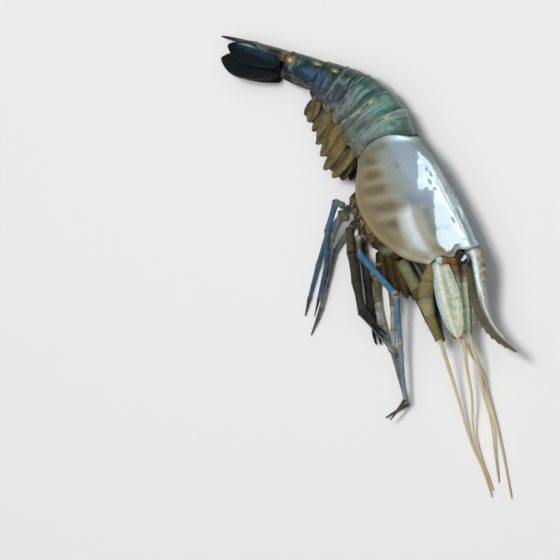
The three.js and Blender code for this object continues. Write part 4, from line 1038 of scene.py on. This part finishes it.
def fan_blade(kind, sign):
    """A ribbed leaf that hangs beside the telson like half a roof, with its fringe."""
    out, up, rise, lean, length, root_width, width = UROPODS[kind]
    if sign < 0:
        out, lean = out * UNDER_OUT, lean * UNDER_LEAN
    _, forward, right, back = body_frame(TAIL)
    rings, t, side = leaf_rings(body_point(TAIL - 1.2, sign * out, up), -forward + back * rise,
                                unit(-back + right * sign * lean), length, root_width, width, 0.62, 1.25,
                                rows=110, sides=80, ribs=0.08, rib_count=7, edge=0.3)
    pigment = tint(
        flat_pigment(t.shape, "#0c1012"),
        ("#141c20", 0.8 * bump(side, 0.1, 0.14)),
        ("#22384a", 0.5 * bump(side, -0.75, 0.16) * above(t, 0.1, 0.3))) if kind == "outer" else tint(
        flat_pigment(t.shape, "#10181b"),
        ("#1d3444", below(side, 0.2, 0.5) * above(t, 0.05, 0.2)),
        ("#2b3f2c", 0.8 * above(-side, 0.6, 0.2) * above(t, 0.1, 0.2)),
        # painted highlight: a blue-white streak along the inner blade
        ("#a9c0cc", 0.85 * bump(side, -0.62, 0.08) * bump(t, 0.72, 0.16)),
        ("#0c1012", above(t, 0.8, 0.1)))
    return [skin(rings, marble(pigment, 0.7, 1.3, clouds(t * 8, side * 4, 91))),
            *fringe(rings, 0.45, 0.34, 1.7, 0.06, "#2c2a26", seed=7, lean=0.75)]


for side_name, sign in SIDES.items():
    for kind in UROPODS:
        add_piece(f"fan_{kind}_{side_name}", fan_blade(kind, sign), tail_chitin, f"uropod_{kind}_{side_name}")

# %% [markdown]
# ## Swimming legs
# Under each of the first five tail plates hangs a pair of paddles: a thick stalk full of muscle and two
# soft leaves. Out of water they fold together into the overlapping brown lobes that show below the
# tail. Each is built of three plump leaves from one root: the stalk's broad lobe in front, and a
# narrower one to each side below it, painted darker as shade. Pale patches on the lobes are painted
# highlights, and their dark edges are painted shade between the lobes.

# %% Paddles
PADDLE_LENGTHS = [24, 27, 25, 21, 16]
PADDLE_SWEEPS = [0.45, 0.28, 0, -0.16, -0.3]
LOBE_SHAPES = [  # start and turn, share of the length, width, thickness, height, and two colours: a base, darker on the lower lobes as painted shade, and a painted highlight
    (0.0, -0.06, 1.0, 6.6, 3.0, 0.6, "#5a4d2a", "#80754c"),
    (0.02, 0.24, 0.9, 6, 2.6, -0.2, "#403216", "#6d5f35"),
    (0.04, -0.28, 0.84, 6, 2.4, -0.9, "#2c210d", "#4d4023")]


def paddle(sign, index):
    """The three lobes, along the direction in which the leg falls."""
    place = SHELL_REAR - (JOINTS[index] + JOINTS[index + 1]) / 2
    _, forward, _, back = body_frame(place)
    depth = (JOINT_STERNA[index] + JOINT_STERNA[index + 1]) / 2 + 1.4
    root = body_point(place, sign * HALF_WIDTHS[index] * 0.38, -depth, 1.6)
    along = unit(unit(back * [-1, -1, 0]) + forward * PADDLE_SWEEPS[index])
    along = unit(np.array([*along[:2], -0.3 if sign > 0 else -0.14]))
    across = np.array([*-forward[:2], -0.16])
    bend = 0.22 - 0.08 * index + 0.08 * np.cos(5 * index)
    made = []
    for start, turn, share, width, thick, high, shade, painted_highlight_hex in LOBE_SHAPES:
        lobe, t, side = leaf_rings(root + along * PADDLE_LENGTHS[index] * start + [0, 0, 0.4 + high],
                                   along + unit(across) * (turn + bend), across,
                                   PADDLE_LENGTHS[index] * share - 0.8, width * 0.6, width, 0.5, thick,
                                   rows=60, sides=44, ribs=0.03, rib_count=3, edge=0.95, blunt=0.45)
        patch = clouds(t * 2.5 + 3 * index, side * 1.5 + high, 93)
        colour = tint(
            flat_pigment(t.shape, shade),
            # painted highlight in pale patches, then painted shade along the edges where the lobes overlap
            (painted_highlight_hex, 0.9 * above(patch, 0.35, 0.3) * above(t, 0, 0.25)),
            ("#2e2310", 0.7 * above(np.abs(side), 0.6, 0.36)),
            ("#a39a78", 0.2 * bump(side, -0.7, 0.15) * above(t, 0.3, 0.3)),
            ("#7f8a80", 0.15 * above(clouds(t * 3 + index, side * 2, 95), 0.55, 0.15)))
        made.append(skin(lobe, marble(colour, 0.65, 1.2, clouds(t * 4 + index, side * 3, 97))))
    return made


for side_name, sign in SIDES.items():
    for i in range(len(PADDLE_LENGTHS)):
        add_piece(f"paddle_{i + 1}_{side_name}", paddle(sign, i), soft_membrane,
                  f"pleopod_{i + 1}_{side_name}")

# %% [markdown]
# ## Legs
# A leg is a chain of hard tubes with a hinge at each knee: the end of one swells, and the next fits
# into it with two small knobs. One long tube would bend like rubber. So each segment is its own closed
# skin, a spindle that swells at both ends, with a soft brown ring of joint skin between. The first two
# pairs end in claws: a palm with one fixed and one moving finger, both curved, with black tips.

# %% Where the legs lie
LEG_ROOTS = [(44, 3), (22, 6.5), (27, 3.2), (17.5, 6), (10.5, 6)]  # along and out
LEG_LENGTHS = [[11, 12.5, 12.5, 8.5, 6], [12, 15, 15, 7.5, 10.5], [8, 33.5, 23.5, 29, 13], [5, 16, 18, 17, 9],
               [5, 15, 18, 17, 9]]
LEG_RADII = [[2.6, 2.2, 1.8, 1.5, 1.1, 0.35], [2.5, 2.4, 2.3, 2.4, 1.9, 0.4], [1.9, 2.2, 1.9, 1.5, 1.1, 0.35],
             [1.8, 1.7, 1.4, 1.2, 0.9, 0.3], [1.9, 1.8, 1.6, 1.3, 1.0, 0.3]]
CLAWED = 2  # the first two pairs end in claws
LEG_POSES = {  # each segment's heading on the table and its rise
    "right": [[[-67, -24], [-82, 0], [-90, 0], [-87, -4], [-83, -6]],
              [[-87, -3], [-83, -7], [-79, -5], [-52, -7], [-51, -5]],
              [[-103, -17], [-45, 12], [-90, -14], [-87, -7], [-130, -7]],
              [[137, -12], [-119, -24], [-103, -13], [-104, -5], [-111, -1]],
              [[155, -15], [-111, -9], [-97, -13], [-106, -8], [-107, -7]]],
    "left": [[[-133, -29], [-87, -3], [-77, -1], [-73, -1], [-70, -3]],
             [[-93, -7], [-80, 0], [-84, 0], [-77, -3], [-70, -2]],
             [[-137, -6], [-83, 1], [-50, -6], [-76, -6], [-151, -3]],
             [[-143, -19], [-128, -4], [-105, -1], [-107, -1], [-113, -1]],
             [[-159, -11], [-134, -6], [-109, -2], [-106, -1], [-105, -2]]]}
# The upper sides, then the under sides painted darker as shade, of each leg's five segments from the body
# out.
LEG_HEX = [["#4a3c22 #5d5a3c #8b9484 #8f9890 #6b6f60", "#2e2412 #3f3a24 #5f6252 #666a5c #4a4a3c"],
           ["#4a4528 #3a3a28 #33342a #1b1d1e #141617", "#2c2816 #232416 #1e1f16 #101112 #0c0d0e"],
           ["#5f6a58 #3f7090 #587a94 #70808e #4c3c30", "#3d4030 #284a60 #3c5264 #4d5560 #2b2119"],
           ["#5a5844 #6a6c6c #74757a #7c7c80 #504a44", "#3c3a2a #46443f #504e50 #58565a #38322c"],
           ["#566a62 #3d677e #335870 #345a74 #333e46", "#38463e #284454 #203c4c #223a4e #20262c"]]
# The left third leg lies under the right one: its colours are duller and darker, as painted shade.
LOWER_THIRD_HEX = ["#4a4a3a #54605f #5f686b #666c70 #4c3c30", "#303024 #3a4140 #434847 #484a4c #2b2119"]
KNEE_HEX = ["#8f8a66", "#3f3a24", "#b9bda8", "#6d664c", "#6d7c6c"]
KNEE_SKIN_HEX = ["#5a4426", "#1f1a10", "#6f5634", "#4a3c28", "#463f2c"]


def leg_joints(side_name, pair):
    """A leg's joints, each a step from the last by its heading and rise, kept clear of the table."""
    radii = LEG_RADII[pair]
    place, out = LEG_ROOTS[pair]
    up = shell_section(place, FLANK_END)[1] - THORAX_DEPTH - radii[0] - GAP
    joints = [body_point(place, SIDES[side_name] * out, up, radii[0] * CLEARANCE)]
    for (turn, rise), length, radius in zip(LEG_POSES[side_name][pair], LEG_LENGTHS[pair], radii[1:]):
        point = joints[-1] + heading(turn, rise) * length
        point[2] = max(point[2], radius * CLEARANCE)
        joints.append(point)
    return np.array(joints), np.array(radii)


print("legs:", len(LEG_ROOTS) * 2)

# %% One segment
def segment(start, end, start_radius, end_radius, top_hex, shadow_side_hex, knee_hex, waist, knee=1.0, sides=32,
            seed=1, patchy=0.35):
    """A spindle: its radius swells by a bell at each end, a little past the joint, and a ridge runs
    along its upper side. Colour blends from its under side, painted darker as shade, to its top, and
    pales at the knees."""
    length = float(np.linalg.norm(end - start))
    least = min(start_radius, end_radius)
    over = 0.32 * least
    whole = length + 2 * over
    share = np.linspace(0, 1, int(np.clip(length * 2.4, 18, 80)))
    distance = -over + whole * (0.6 * (0.5 - 0.5 * np.cos(np.pi * share)) + 0.4 * share)
    bells = [bump(distance, 0, 1.5 * start_radius), bump(distance, length, 1.5 * end_radius)]
    radius = lerp(start_radius, end_radius, np.clip(distance / length, 0, 1))
    radius *= (waist + (1 - waist) * np.maximum(*bells)) * rounded_ends(distance + over, whole, 0.8 * least)
    angle = around(sides)
    relief = 0.05 * (clouds(distance[:, None] / 1.1, angle[None] * 1.3, seed) - 0.5)
    relief = radius[:, None] * (relief - 0.06 * bump(np.sin(angle)[None], 1, 0.1))
    rings = tube_rings(start + (end - start) * (distance / length)[:, None], radius, sides, relief=relief)
    upward = np.broadcast_to(np.sin(angle)[None], rings.shape[:2])
    ends = over_rings(bump(distance, 0, 0.9 * start_radius) + bump(distance, length, 0.9 * end_radius), rings)
    # the under side is painted darker as shade
    colour = tint(flat_pigment(upward.shape, shadow_side_hex), (top_hex, above(upward, -0.7, 1.1)),
                  (knee_hex, 0.8 * knee * ends))
    noise = clouds(over_rings(distance, rings) / 2.2, upward * 1.5 + seed, seed + 9)
    return skin(rings, marble(colour, 1 - patchy, 1 + patchy, noise), run=distance[:, None])


def knee_ball(point, radius, forward, hex_colour):
    """Joint skin and the two hinge knobs: a ball, and a small ball at each side of it."""
    turn, round_it = np.linspace(0.12, np.pi - 0.12, 12)[:, None], around(16)[None]
    ball = np.stack(np.broadcast_arrays(np.sin(turn) * np.cos(round_it), np.sin(turn) * np.sin(round_it),
                                        np.cos(turn)), -1)
    made = []
    for offset, size in ((0, 0.9), (0.72, 0.42), (-0.72, 0.42)):
        centre = point + sideways(forward) * offset * radius
        centre[2] = max(centre[2], size * radius * 1.02)
        made.append(skin(centre + ball * size * radius, flat_pigment(ball.shape[:2], hex_colour)))
    return made


def finger(start, end, start_radius, end_radius, bow, hex_colour, seed):
    """A claw's finger: a tapered tube bowed sideways by a half sine, with teeth along its inner edge."""
    t = np.linspace(0, 1, 40)
    path = start + (end - start) * t[:, None] + sideways(end - start) * (bow * np.sin(np.pi * t))[:, None]
    radius = lerp(start_radius, end_radius, t ** 0.8) * np.sqrt(np.clip((1.02 - t) / 0.12, 0.02, 1))
    angle = around(20)
    inner = bump(np.cos(angle), -np.sign(bow), 0.5)[None]
    teeth = 0.12 * start_radius * np.maximum(np.sin(t * 40), 0)[:, None] * inner
    rings = tube_rings(path, radius, len(angle), relief=teeth)
    along = over_rings(t, rings)
    colour = tint(flat_pigment(along.shape, hex_colour), ("#0f0f0e", above(along, 0.45, 0.4)))
    return skin(rings, marble(colour, 0.8, 1.2, clouds(along * 8, angle[None] + along, seed)))


HAIRS_PER_MM = 1.6
CLAW_GAPE = 13  # degrees between the fingers
CLAW_REACH, CLAW_ROOT = 0.94, 0.74  # the moving finger's length and a finger's root, as shares


def leg(side_name, pair):
    """All the segments of one leg, its joint skin and, on the first two pairs, its claw."""
    joints, radii = leg_joints(side_name, pair)
    top_hexes, shadow_side_hexes = LOWER_THIRD_HEX if (side_name, pair) == ("left", 2) else LEG_HEX[pair]
    sign, length, clawed = SIDES[side_name], LEG_LENGTHS[pair][4], pair < CLAWED
    made = []
    for i, (top_hex, shadow_side_hex) in enumerate(zip(top_hexes.split(), shadow_side_hexes.split())):
        if i == 4 and clawed:
            turn, rise = LEG_POSES[side_name][pair][4]
            tip = joints[4] + heading(turn + CLAW_GAPE * sign, rise) * length * CLAW_REACH
            tip[2] = max(tip[2], radii[5] * CLEARANCE)
            for end, bow, seed in ((joints[5], 0.05, 3), (tip, -0.05, 5)):
                made.append(finger(joints[4], end, radii[4] * CLAW_ROOT, radii[5], bow * length * sign,
                                   top_hex, seed))
            continue
        made.append(segment(joints[i], joints[i + 1], radii[i], radii[i + 1], top_hex, shadow_side_hex,
                            KNEE_HEX[pair], waist=0.98 if clawed and i == 3 else 0.84,
                            knee=0 if i == 4 else 0.8, sides=26, seed=7 * pair + i))
        if i:
            made += knee_ball(joints[i], radii[i], joints[i + 1] - joints[i], KNEE_SKIN_HEX[pair])
    random = np.random.default_rng(pair + 20)
    share = random.uniform(0.1, 0.95, int(np.linalg.norm(joints[4] - joints[3]) * HAIRS_PER_MM))[:, None]
    made.append(bristles(joints[3], joints[4], radii[4] * 0.8, share, 0.8, 0.05, (0.8, 1.6), "#7d6f54",
                         random))
    return made


LEG_SLOTS = ["leg_pale", "leg_olive", "leg_blue", "leg_pale", "leg_blue"]
for side_name in SIDES:
    for i, slot_name in enumerate(LEG_SLOTS):
        add_piece(f"walking_leg_{i + 1}_{side_name}", leg(side_name, i), leg_chitin,
                  f"leg_{i + 1}_{side_name}")

# %% [markdown]
# ## The head's limbs
# Forward of the mouth there are, from below: the maxillipeds, stout hairy feeding legs; the antenna
# bases, each with a knob that holds the kidney; the pale scales, which steer; and the three-part bases of
# the small feelers. All are tubes and leaves again. The scale's outer edge is a stiff blue-white rib
# that ends in a spine.

# %% Limbs given by places on the body
MAXILLIPED = [[51, 4, -22.4, 3.2], [68, 4.2, -22.2, 3.6], [82, 3.8, -24.4, 2.5], [95, 3.2, -26.8, 0.9]]
# Each pair is a segment's top colour and its under side, painted darker as shade.
MAXILLIPED_HEX = [("#6f7450", "#3a2f18"), ("#4a4422", "#2c220f"), ("#6d6846", "#463c22")]
ANTENNA_BASE = [[63, 7.4, -6.8, 2.8], [68.6, 9, -12.6, 4], [75, 9.6, -18, 4.2], [84, 9.4, -20.4, 2.6],
                [96, 9, -22.4, 1.8]]
# Top colours and under sides painted darker as shade, as above.
ANTENNA_BASE_HEX = [("#7d6a42", "#4f3c1e"), ("#7d734c", "#4f4628"), ("#908a66", "#5d5234"),
                    ("#766b38", "#4c4420")]
MAXILLIPED_HAIRS = 150


def limb(points, radii, colours, knee_hex, waist, knee, seed, patchy=0.35):
    """A chain of segments between points."""
    return [segment(points[i], points[i + 1], radii[i], radii[i + 1], *pair, knee_hex, waist, knee=knee,
                    seed=seed + i, patchy=patchy) for i, pair in enumerate(colours)]


def limb_points(places, sign):
    """The points and radii of a limb whose places are along, out, up and radius."""
    return (np.array([body_point(along, sign * out, up, radius * CLEARANCE)
                      for along, out, up, radius in places]), np.array(places)[:, 3])


for side_name, sign in SIDES.items():
    points, radii = limb_points(MAXILLIPED, sign)
    random = np.random.default_rng(40 + sign)
    share = random.uniform(0, 0.98, MAXILLIPED_HAIRS) * 2 + 1  # from the second place to the last
    i = share.astype(int)
    part = (share - i)[:, None]
    reach = lerp(radii[i, None], radii[i + 1, None], part) * 0.85
    beard = bristles(points[i], points[i + 1], reach, part, 0.7, 0.06, (1, 2.2), "#8b7a50", random)
    chain = limb(points, radii, MAXILLIPED_HEX, "#5a4e2a", 0.9, 0.6, 31)
    add_piece(f"feeding_leg_{side_name}", [*chain, beard], leg_chitin, f"maxilliped_{side_name}")
    points, radii = limb_points(ANTENNA_BASE, sign)
    add_piece(f"feeler_root_{side_name}", limb(points, radii, ANTENNA_BASE_HEX, "#7d7450", 0.97, 0.25, 51),
              leg_chitin, f"antenna_base_{side_name}")

# %% Scales
RIB_SHARE, RIB_SPINE, RIB_POINTS = 0.86, 1.8, 60  # the rib's share of the edge, its free spine in mm


def scale(sign):
    """A leaf whose outer edge is a thick rib that ends in a spine, with a fringe along the other."""
    root = body_point(63, sign * 8.8, -1.2, 3)
    _, _, right, back = body_frame(63)
    along = heading(HEADING - (17 if sign > 0 else 20), -5 if sign > 0 else 1)
    rings, t, side = leaf_rings(root, along, unit(back - right * sign * 0.12), 39.8, 7, 12.4, 0.5, 1.35,
                                rows=100, sides=72, ribs=0.08, rib_count=5, edge=0.35, blunt=0.5)
    veins = above(np.sin(34 * clouds(t * 5, side * 1.6, 103)), 0.3, 0.5)
    colour = tint(
        flat_pigment(t.shape, "#c3cdbe"),
        ("#c9ccb0", above(t, 0.45, 0.4)),
        ("#97a27c", 0.6 * bump(side, 0.15 - 0.4 * t, 0.16) * above(t, 0, 0.2)),
        ("#b4ced6", 0.95 * above(-side, 0.72, 0.14)),
        ("#e6e8da", 0.9 * bump(side, -0.45 + 0.1 * t, 0.18)),
        ("#d6ddcc", 0.8 * bump(side, 0.5, 0.2)),
        ("#76865f", 0.5 * veins * above(side, -0.1, 0.3) * above(t, 0.2, 0.2)),
        ("#7b7a8c", 0.75 * bump(side, 0.75, 0.22) * bump(t, 0.2, 0.08)),
        ("#7d5a30", 0.9 * below(t, 0.12, 0.08) * above(side, -0.3, 0.3)))
    colour = marble(colour, 0.82, 1.15, clouds(t * 9, side * 2.5, 101))
    edge = rings[:, rings.shape[1] // 2]
    path = points_at(np.linspace(0, RIB_SHARE * (len(edge) - 1), RIB_POINTS), np.arange(len(edge)), edge)
    path = np.vstack([path, path[-1] + unit(path[-1] - path[-4]) * RIB_SPINE])
    path[:, 2] = np.maximum(path[:, 2], 0.85)
    rib = tube_rings(path, np.r_[np.linspace(0.75, 0.5, RIB_POINTS), 0.08], 14)
    # the knob and the hinge also have under sides painted darker as shade
    knob = segment(root - along * 1.4, root + along * 1.6, 1.9, 1.8, "#a9bcc2", "#4f5f6a", "#a9bcc2", 1,
                   sides=36, seed=77, patchy=0.6)
    hinge = segment(body_point(64, sign * 8.8, 0.4), body_point(67.4, sign * 6.8, 5.4), 2.1, 1.9, "#66441f",
                    "#382410", "#8a6a3c", 0.7, sides=36, seed=78, patchy=0.7)
    return [skin(rings, colour), skin(rib, flat_pigment(rib.shape[:2], "#a3bfc6")), knob, hinge,
            *fringe(rings, 0.3, 0.3, 1.5, 0.05, "#b9b48e", seed=13, sides=["right"])]


for side_name, sign in SIDES.items():
    add_piece(f"steering_scale_{side_name}", scale(sign), leg_chitin, f"antennal_scale_{side_name}")

# %% Bases of the small feelers
STOPS, STOP_RADII = np.array([0, 14, 27, 38]), [2.8, 2.6, 2.5, 1.9]  # the joints' distances and radii
# Each pair is a top colour and an under side painted darker as shade.
SMALL_BASE_HEX = [("#75603c", "#4a3820"), ("#d8e1c6", "#b4bda0"), ("#d6e8d8", "#aebfae")]


def antennule_point(sign, distance):
    """A point at a distance along the small feeler's base."""
    root = body_point(63, sign * 3.8, 4)
    return root + heading(HEADING - 24, -3 if sign > 0 else 0.5) * distance


for side_name, sign in SIDES.items():
    points = antennule_point(sign, STOPS[:, None])
    add_piece(f"small_feeler_base_{side_name}",
              limb(points, STOP_RADII, SMALL_BASE_HEX, "#cfd8c0", 0.9, 0.6, 61, patchy=0.45), leg_chitin,
              f"antennule_base_{side_name}")

# %% Eyes
EYE_ROOT = {"along": 63, "out": 4.6, "up": 8.2}


def eye(sign):
    """The ball, with a shallow groove where the cornea meets the stalk."""
    centre, root = (body_point(at["along"], sign * at["out"], at["up"]) for at in (EYE, EYE_ROOT))
    turn = np.linspace(0.02, np.pi - 0.02, 64)
    radius = EYE["radius"] * np.sin(turn) * (1 - 0.06 * bump(turn, 2.3, 0.2))
    path = centre - unit(centre - root) * (EYE["radius"] * np.cos(turn))[:, None]
    rings = tube_rings(path, radius, 64)
    t = over_rings(turn, rings)
    return [skin(rings, tint(flat_pigment(t.shape, "#3f3034"), ("#16101a", above(t, 0.8, 0.3))))]


def eye_stalk(sign):
    """A short tube that widens towards the eye and just reaches it."""
    ball, root = (body_point(at["along"], sign * at["out"], at["up"]) for at in (EYE, EYE_ROOT))
    whole = np.linalg.norm(ball - root)
    end = lerp(root, ball, (whole - EYE["radius"] - GAP + 0.5) / whole)
    t = np.linspace(0, 1, 40)
    radius = profile([[0, 1.3], [0.6, 1.5], [1, 1.8]])(t) * (1 + 0.06 * np.sin(t * 14))
    rings = tube_rings(lerp(root, end, t[:, None]), radius * closing(t, 0.06, 0.12), 32)
    t = over_rings(t, rings)
    return [skin(rings, tint(flat_pigment(t.shape, "#5f4c30"), ("#4a3424", above(t, 0.5, 0.3))))]


for side_name, sign in SIDES.items():
    add_piece(f"eyeball_{side_name}", eye(sign), cornea, f"eye_{side_name}")
    add_piece(f"eye_root_{side_name}", eye_stalk(sign), leg_chitin, f"eyestalk_{side_name}")

# %% [markdown]
# ## Feelers
# The whips are chains of hundreds of tiny rings that fall to the table in slack curves. A tube along a
# smooth curve through a few places gives the fall; the rings are too fine to model each, so they are a
# wave in the bump that follows the distance along the whip.

# %% Curves of the whips
# Each whip's thickness, and the places that it runs through, mm.
WHIPS = {
    "antenna_whip_right": (0.95, [[27.4, -98.8, 20.6], [29, -110.7, 13.4], [32.4, -127.9, 6.6],
                                  [36.4, -145, 3], [42.6, -160, 1.4], [47, -173, 1]]),
    "antenna_whip_left": (0.8, [[34, -97.2, 5], [40.3, -106.4, 4.8], [46.8, -126.1, 3.8],
                                [52.1, -147.2, 2.2], [57.2, -174, 0.8]]),
    "antennule_whip_right": (0.9, [[37.8, -97.3, 17.2], [37.8, -109, 12.8], [38.9, -123.2, 8.4],
                                   [38.6, -142, 4], [47.6, -170, 1.6]]),
    "antennule_whip_left": (0.9, [[40.9, -98.1, 14.2], [43, -108, 11], [44.4, -120.3, 7.6],
                                  [47.6, -135.2, 4.6], [49, -151.1, 2.6], [50.6, -166, 1]]),
}


def whip_root(name):
    """Just clear of the end of the feeler's base."""
    sign = SIDES[name.split("_")[-1]]
    if name.startswith("antennule"):
        return antennule_point(sign, STOPS[-1] + GAP)
    before, last = limb_points(ANTENNA_BASE, sign)[0][-2:]
    return last + unit(last - before) * GAP


def smooth_route(places, count):
    """A centripetal curve through places: knots spaced by the root of the distance, mixed in three
    rounds of straight blends, as Barry and Goldman showed."""
    p = np.array(places, float)
    p = np.vstack([2 * p[0] - p[1], p, 2 * p[-1] - p[-2]])
    spans = len(places) - 1
    found = []
    for k in range(spans):
        a, b, c, d = p[k:k + 4]
        t0, t1, t2, t3 = walked(p[k:k + 4], 0.5)
        t = np.linspace(t1, t2, count // spans, endpoint=(k == spans - 1))[:, None]
        ab, bc, cd = (lerp(start, end, (t - first) / (last - first))
                      for start, end, first, last in ((a, b, t0, t1), (b, c, t1, t2), (c, d, t2, t3)))
        abc, bcd = lerp(ab, bc, (t - t0) / (t2 - t0)), lerp(bc, cd, (t - t1) / (t3 - t1))
        found.append(lerp(abc, bcd, (t - t1) / (t2 - t1)))
    return np.vstack(found)


for name, (thickness, route) in WHIPS.items():
    path = smooth_route([whip_root(name), *route], 240)
    t = np.linspace(0, 1, len(path))
    radius = lerp(1.5 * thickness, 0.4, t ** 0.65) * closing(t, 0.002, 0.006)
    rings = tube_rings(path, radius, 14)
    shade = over_rings(t, rings)
    colour = tint(flat_pigment(shade.shape, "#d6cfae"), ("#e0caa2", above(shade, 0, 0.5)),
                  ("#b08a5c", 0.4 * above(shade, 0.7, 0.3)))
    add_piece(name.replace("whip", "lash"), [skin(rings, colour, run=walked(path)[:, None])], ringed_horn,
              name)

# %% [markdown]
# ## Table, light and camera
# The animal lies on a plain, pale, slightly rough board. One soft lamp almost overhead gives the short
# shadows, and a pale ceiling fills them. A wet shell shows what it mirrors, so narrow panes stand round
# the table like a window: they are seen in the gloss alone and cast no light on the pigment. Stronger
# lamps would do the same, but would bleach the colours. The big panes reach the head shell and the eyes
# only, where water stands; on the pebbled legs they would look like metal.

# %% The board
board, tree = new_material("pale matt board")
place = add_node(tree, "ShaderNodeTexCoord")["Object"]
fibre = add_node(tree, "ShaderNodeTexNoise", {"Vector": place, "Scale": 90.0, "Detail": 3.0})["Fac"]
relief = add_node(tree, "ShaderNodeBump", {"Height": fibre, "Strength": 0.2, "Distance": 0.0003})["Normal"]
surface = add_node(tree, "ShaderNodeBsdfPrincipled", {"Base Color": (*linear("#eceef0"), 1), "Roughness": 0.6,
                                                      "Normal": relief})["BSDF"]
add_node(tree, "ShaderNodeOutputMaterial", {"Surface": surface})
HALF = 3.0  # metres from the middle of the table to its edges
mesh = bpy.data.meshes.new("table")
mesh.from_pydata([(x, y, 0) for x, y in ((-HALF, -HALF), (HALF, -HALF), (HALF, HALF), (-HALF, HALF))], [],
                 [(0, 1, 2, 3)])
mesh.materials.append(board)
floor = bpy.data.objects.new("table", mesh)
bpy.context.collection.objects.link(floor)
print("table laid")

# %% Light
scene = bpy.context.scene
scene.view_settings.view_transform = "Standard"
scene.view_settings.look = "None"
scene.cycles.use_light_tree = False  # some lamps reach the head shell only, which the tree sorts wrongly
world = bpy.data.worlds.new("pale sky")
scene.world = world
world.use_nodes = True
sky = world.node_tree.nodes["Background"].inputs
sky["Color"].default_value = (*linear("#eef0f2"), 1)
sky["Strength"].default_value = 0.15


def lamp(name, direction, distance, width, height, radiance, hex_colour, gloss_only=False, gloss=True,
         receivers=None):
    """An area lamp that faces the animal. Its power is radiance times pi times its area. Receivers are
    the pieces it reaches; without them it reaches everything."""
    light = bpy.data.lights.new(name, "AREA")
    light.shape = "RECTANGLE"
    light.size, light.size_y = width, height
    light.energy = radiance * np.pi * width * height
    light.color = linear(hex_colour)
    lamp_object = bpy.data.objects.new(name, light)
    bpy.context.collection.objects.link(lamp_object)
    direction = Vector(direction).normalized()
    lamp_object.location = direction * distance
    lamp_object.rotation_euler = direction.to_track_quat("Z", "Y").to_euler()
    lamp_object.visible_glossy = gloss
    if gloss_only:
        lamp_object.visible_diffuse = False
        light.use_shadow = False
    if receivers:
        lamp_object.light_linking.receiver_collection = receivers
    return lamp_object


def toward(azimuth, elevation):
    """A direction from its azimuth from +X and its elevation, in degrees."""
    a, e = np.radians(azimuth), np.radians(elevation)
    return (np.cos(a) * np.cos(e), np.sin(a) * np.cos(e), np.sin(e))


lamp("soft key", (-0.04, 0.14, 1.0), 1.56, 0.41, 0.41, 30, "#fffdf8", gloss=False)
lamp("ceiling", (0, 0, 1), 1.6, 2.6, 2.6, 0.52, "#fbfcfd", gloss=False)
lamp("key glint", (-0.34, 0.32, 1.0), 1.6, 0.5, 0.5, 3.0, "#fffdf8", gloss_only=True)
glare = bpy.data.collections.new("glare")
for name in ("head_shell", "eyeball_right", "eyeball_left"):
    glare.objects.link(bpy.data.objects[name])
pane = {"hex_colour": "#d6e8f6", "gloss_only": True}
lamp("window left", toward(58, 28), 0.9, 0.42, 1.2, 11, **pane, receivers=glare)
lamp("window right", toward(30, 18), 0.9, 0.5, 0.72, 8.5, **pane, receivers=glare)
lamp("window sheen", toward(45, 38), 1.2, 0.3, 0.5, 4.5, **pane)
skylight = lamp("skylight", (0.56, -0.05, 1), 1.15, 0.7, 3.2, 13, "#d6e6f6", gloss_only=True, receivers=glare)
skylight.rotation_euler = (0, 0, np.radians(-45))

# %% Camera
VIEW = ((0.94293, 0, -0.33300), (0.02755, 0.99657, 0.07802), (0.33186, -0.08274, 0.93969))  # right, up, back
AIM_MM = (-65.36, -61.47)  # the picture's middle on the table, in the drawing
DISTANCE, SEEN, SENSOR_MM = 10, 0.28, 36  # metres away, metres across the picture
camera = bpy.data.objects.new("camera", bpy.data.cameras.new("camera"))
bpy.context.collection.objects.link(camera)
camera.data.lens = SENSOR_MM * DISTANCE / SEEN
camera.data.clip_end = 3 * DISTANCE
aim = Vector((SHIFT[0] + AIM_MM[0], SHIFT[1] + AIM_MM[1], 0)) / 1000
place = Matrix.Translation(aim + Vector(VIEW[2]) * DISTANCE)
camera.matrix_world = place @ Matrix(VIEW).transposed().to_4x4()
scene.camera = camera
print("camera at", [round(v, 3) for v in camera.location])

# %% Update the scene
bpy.context.view_layer.update()
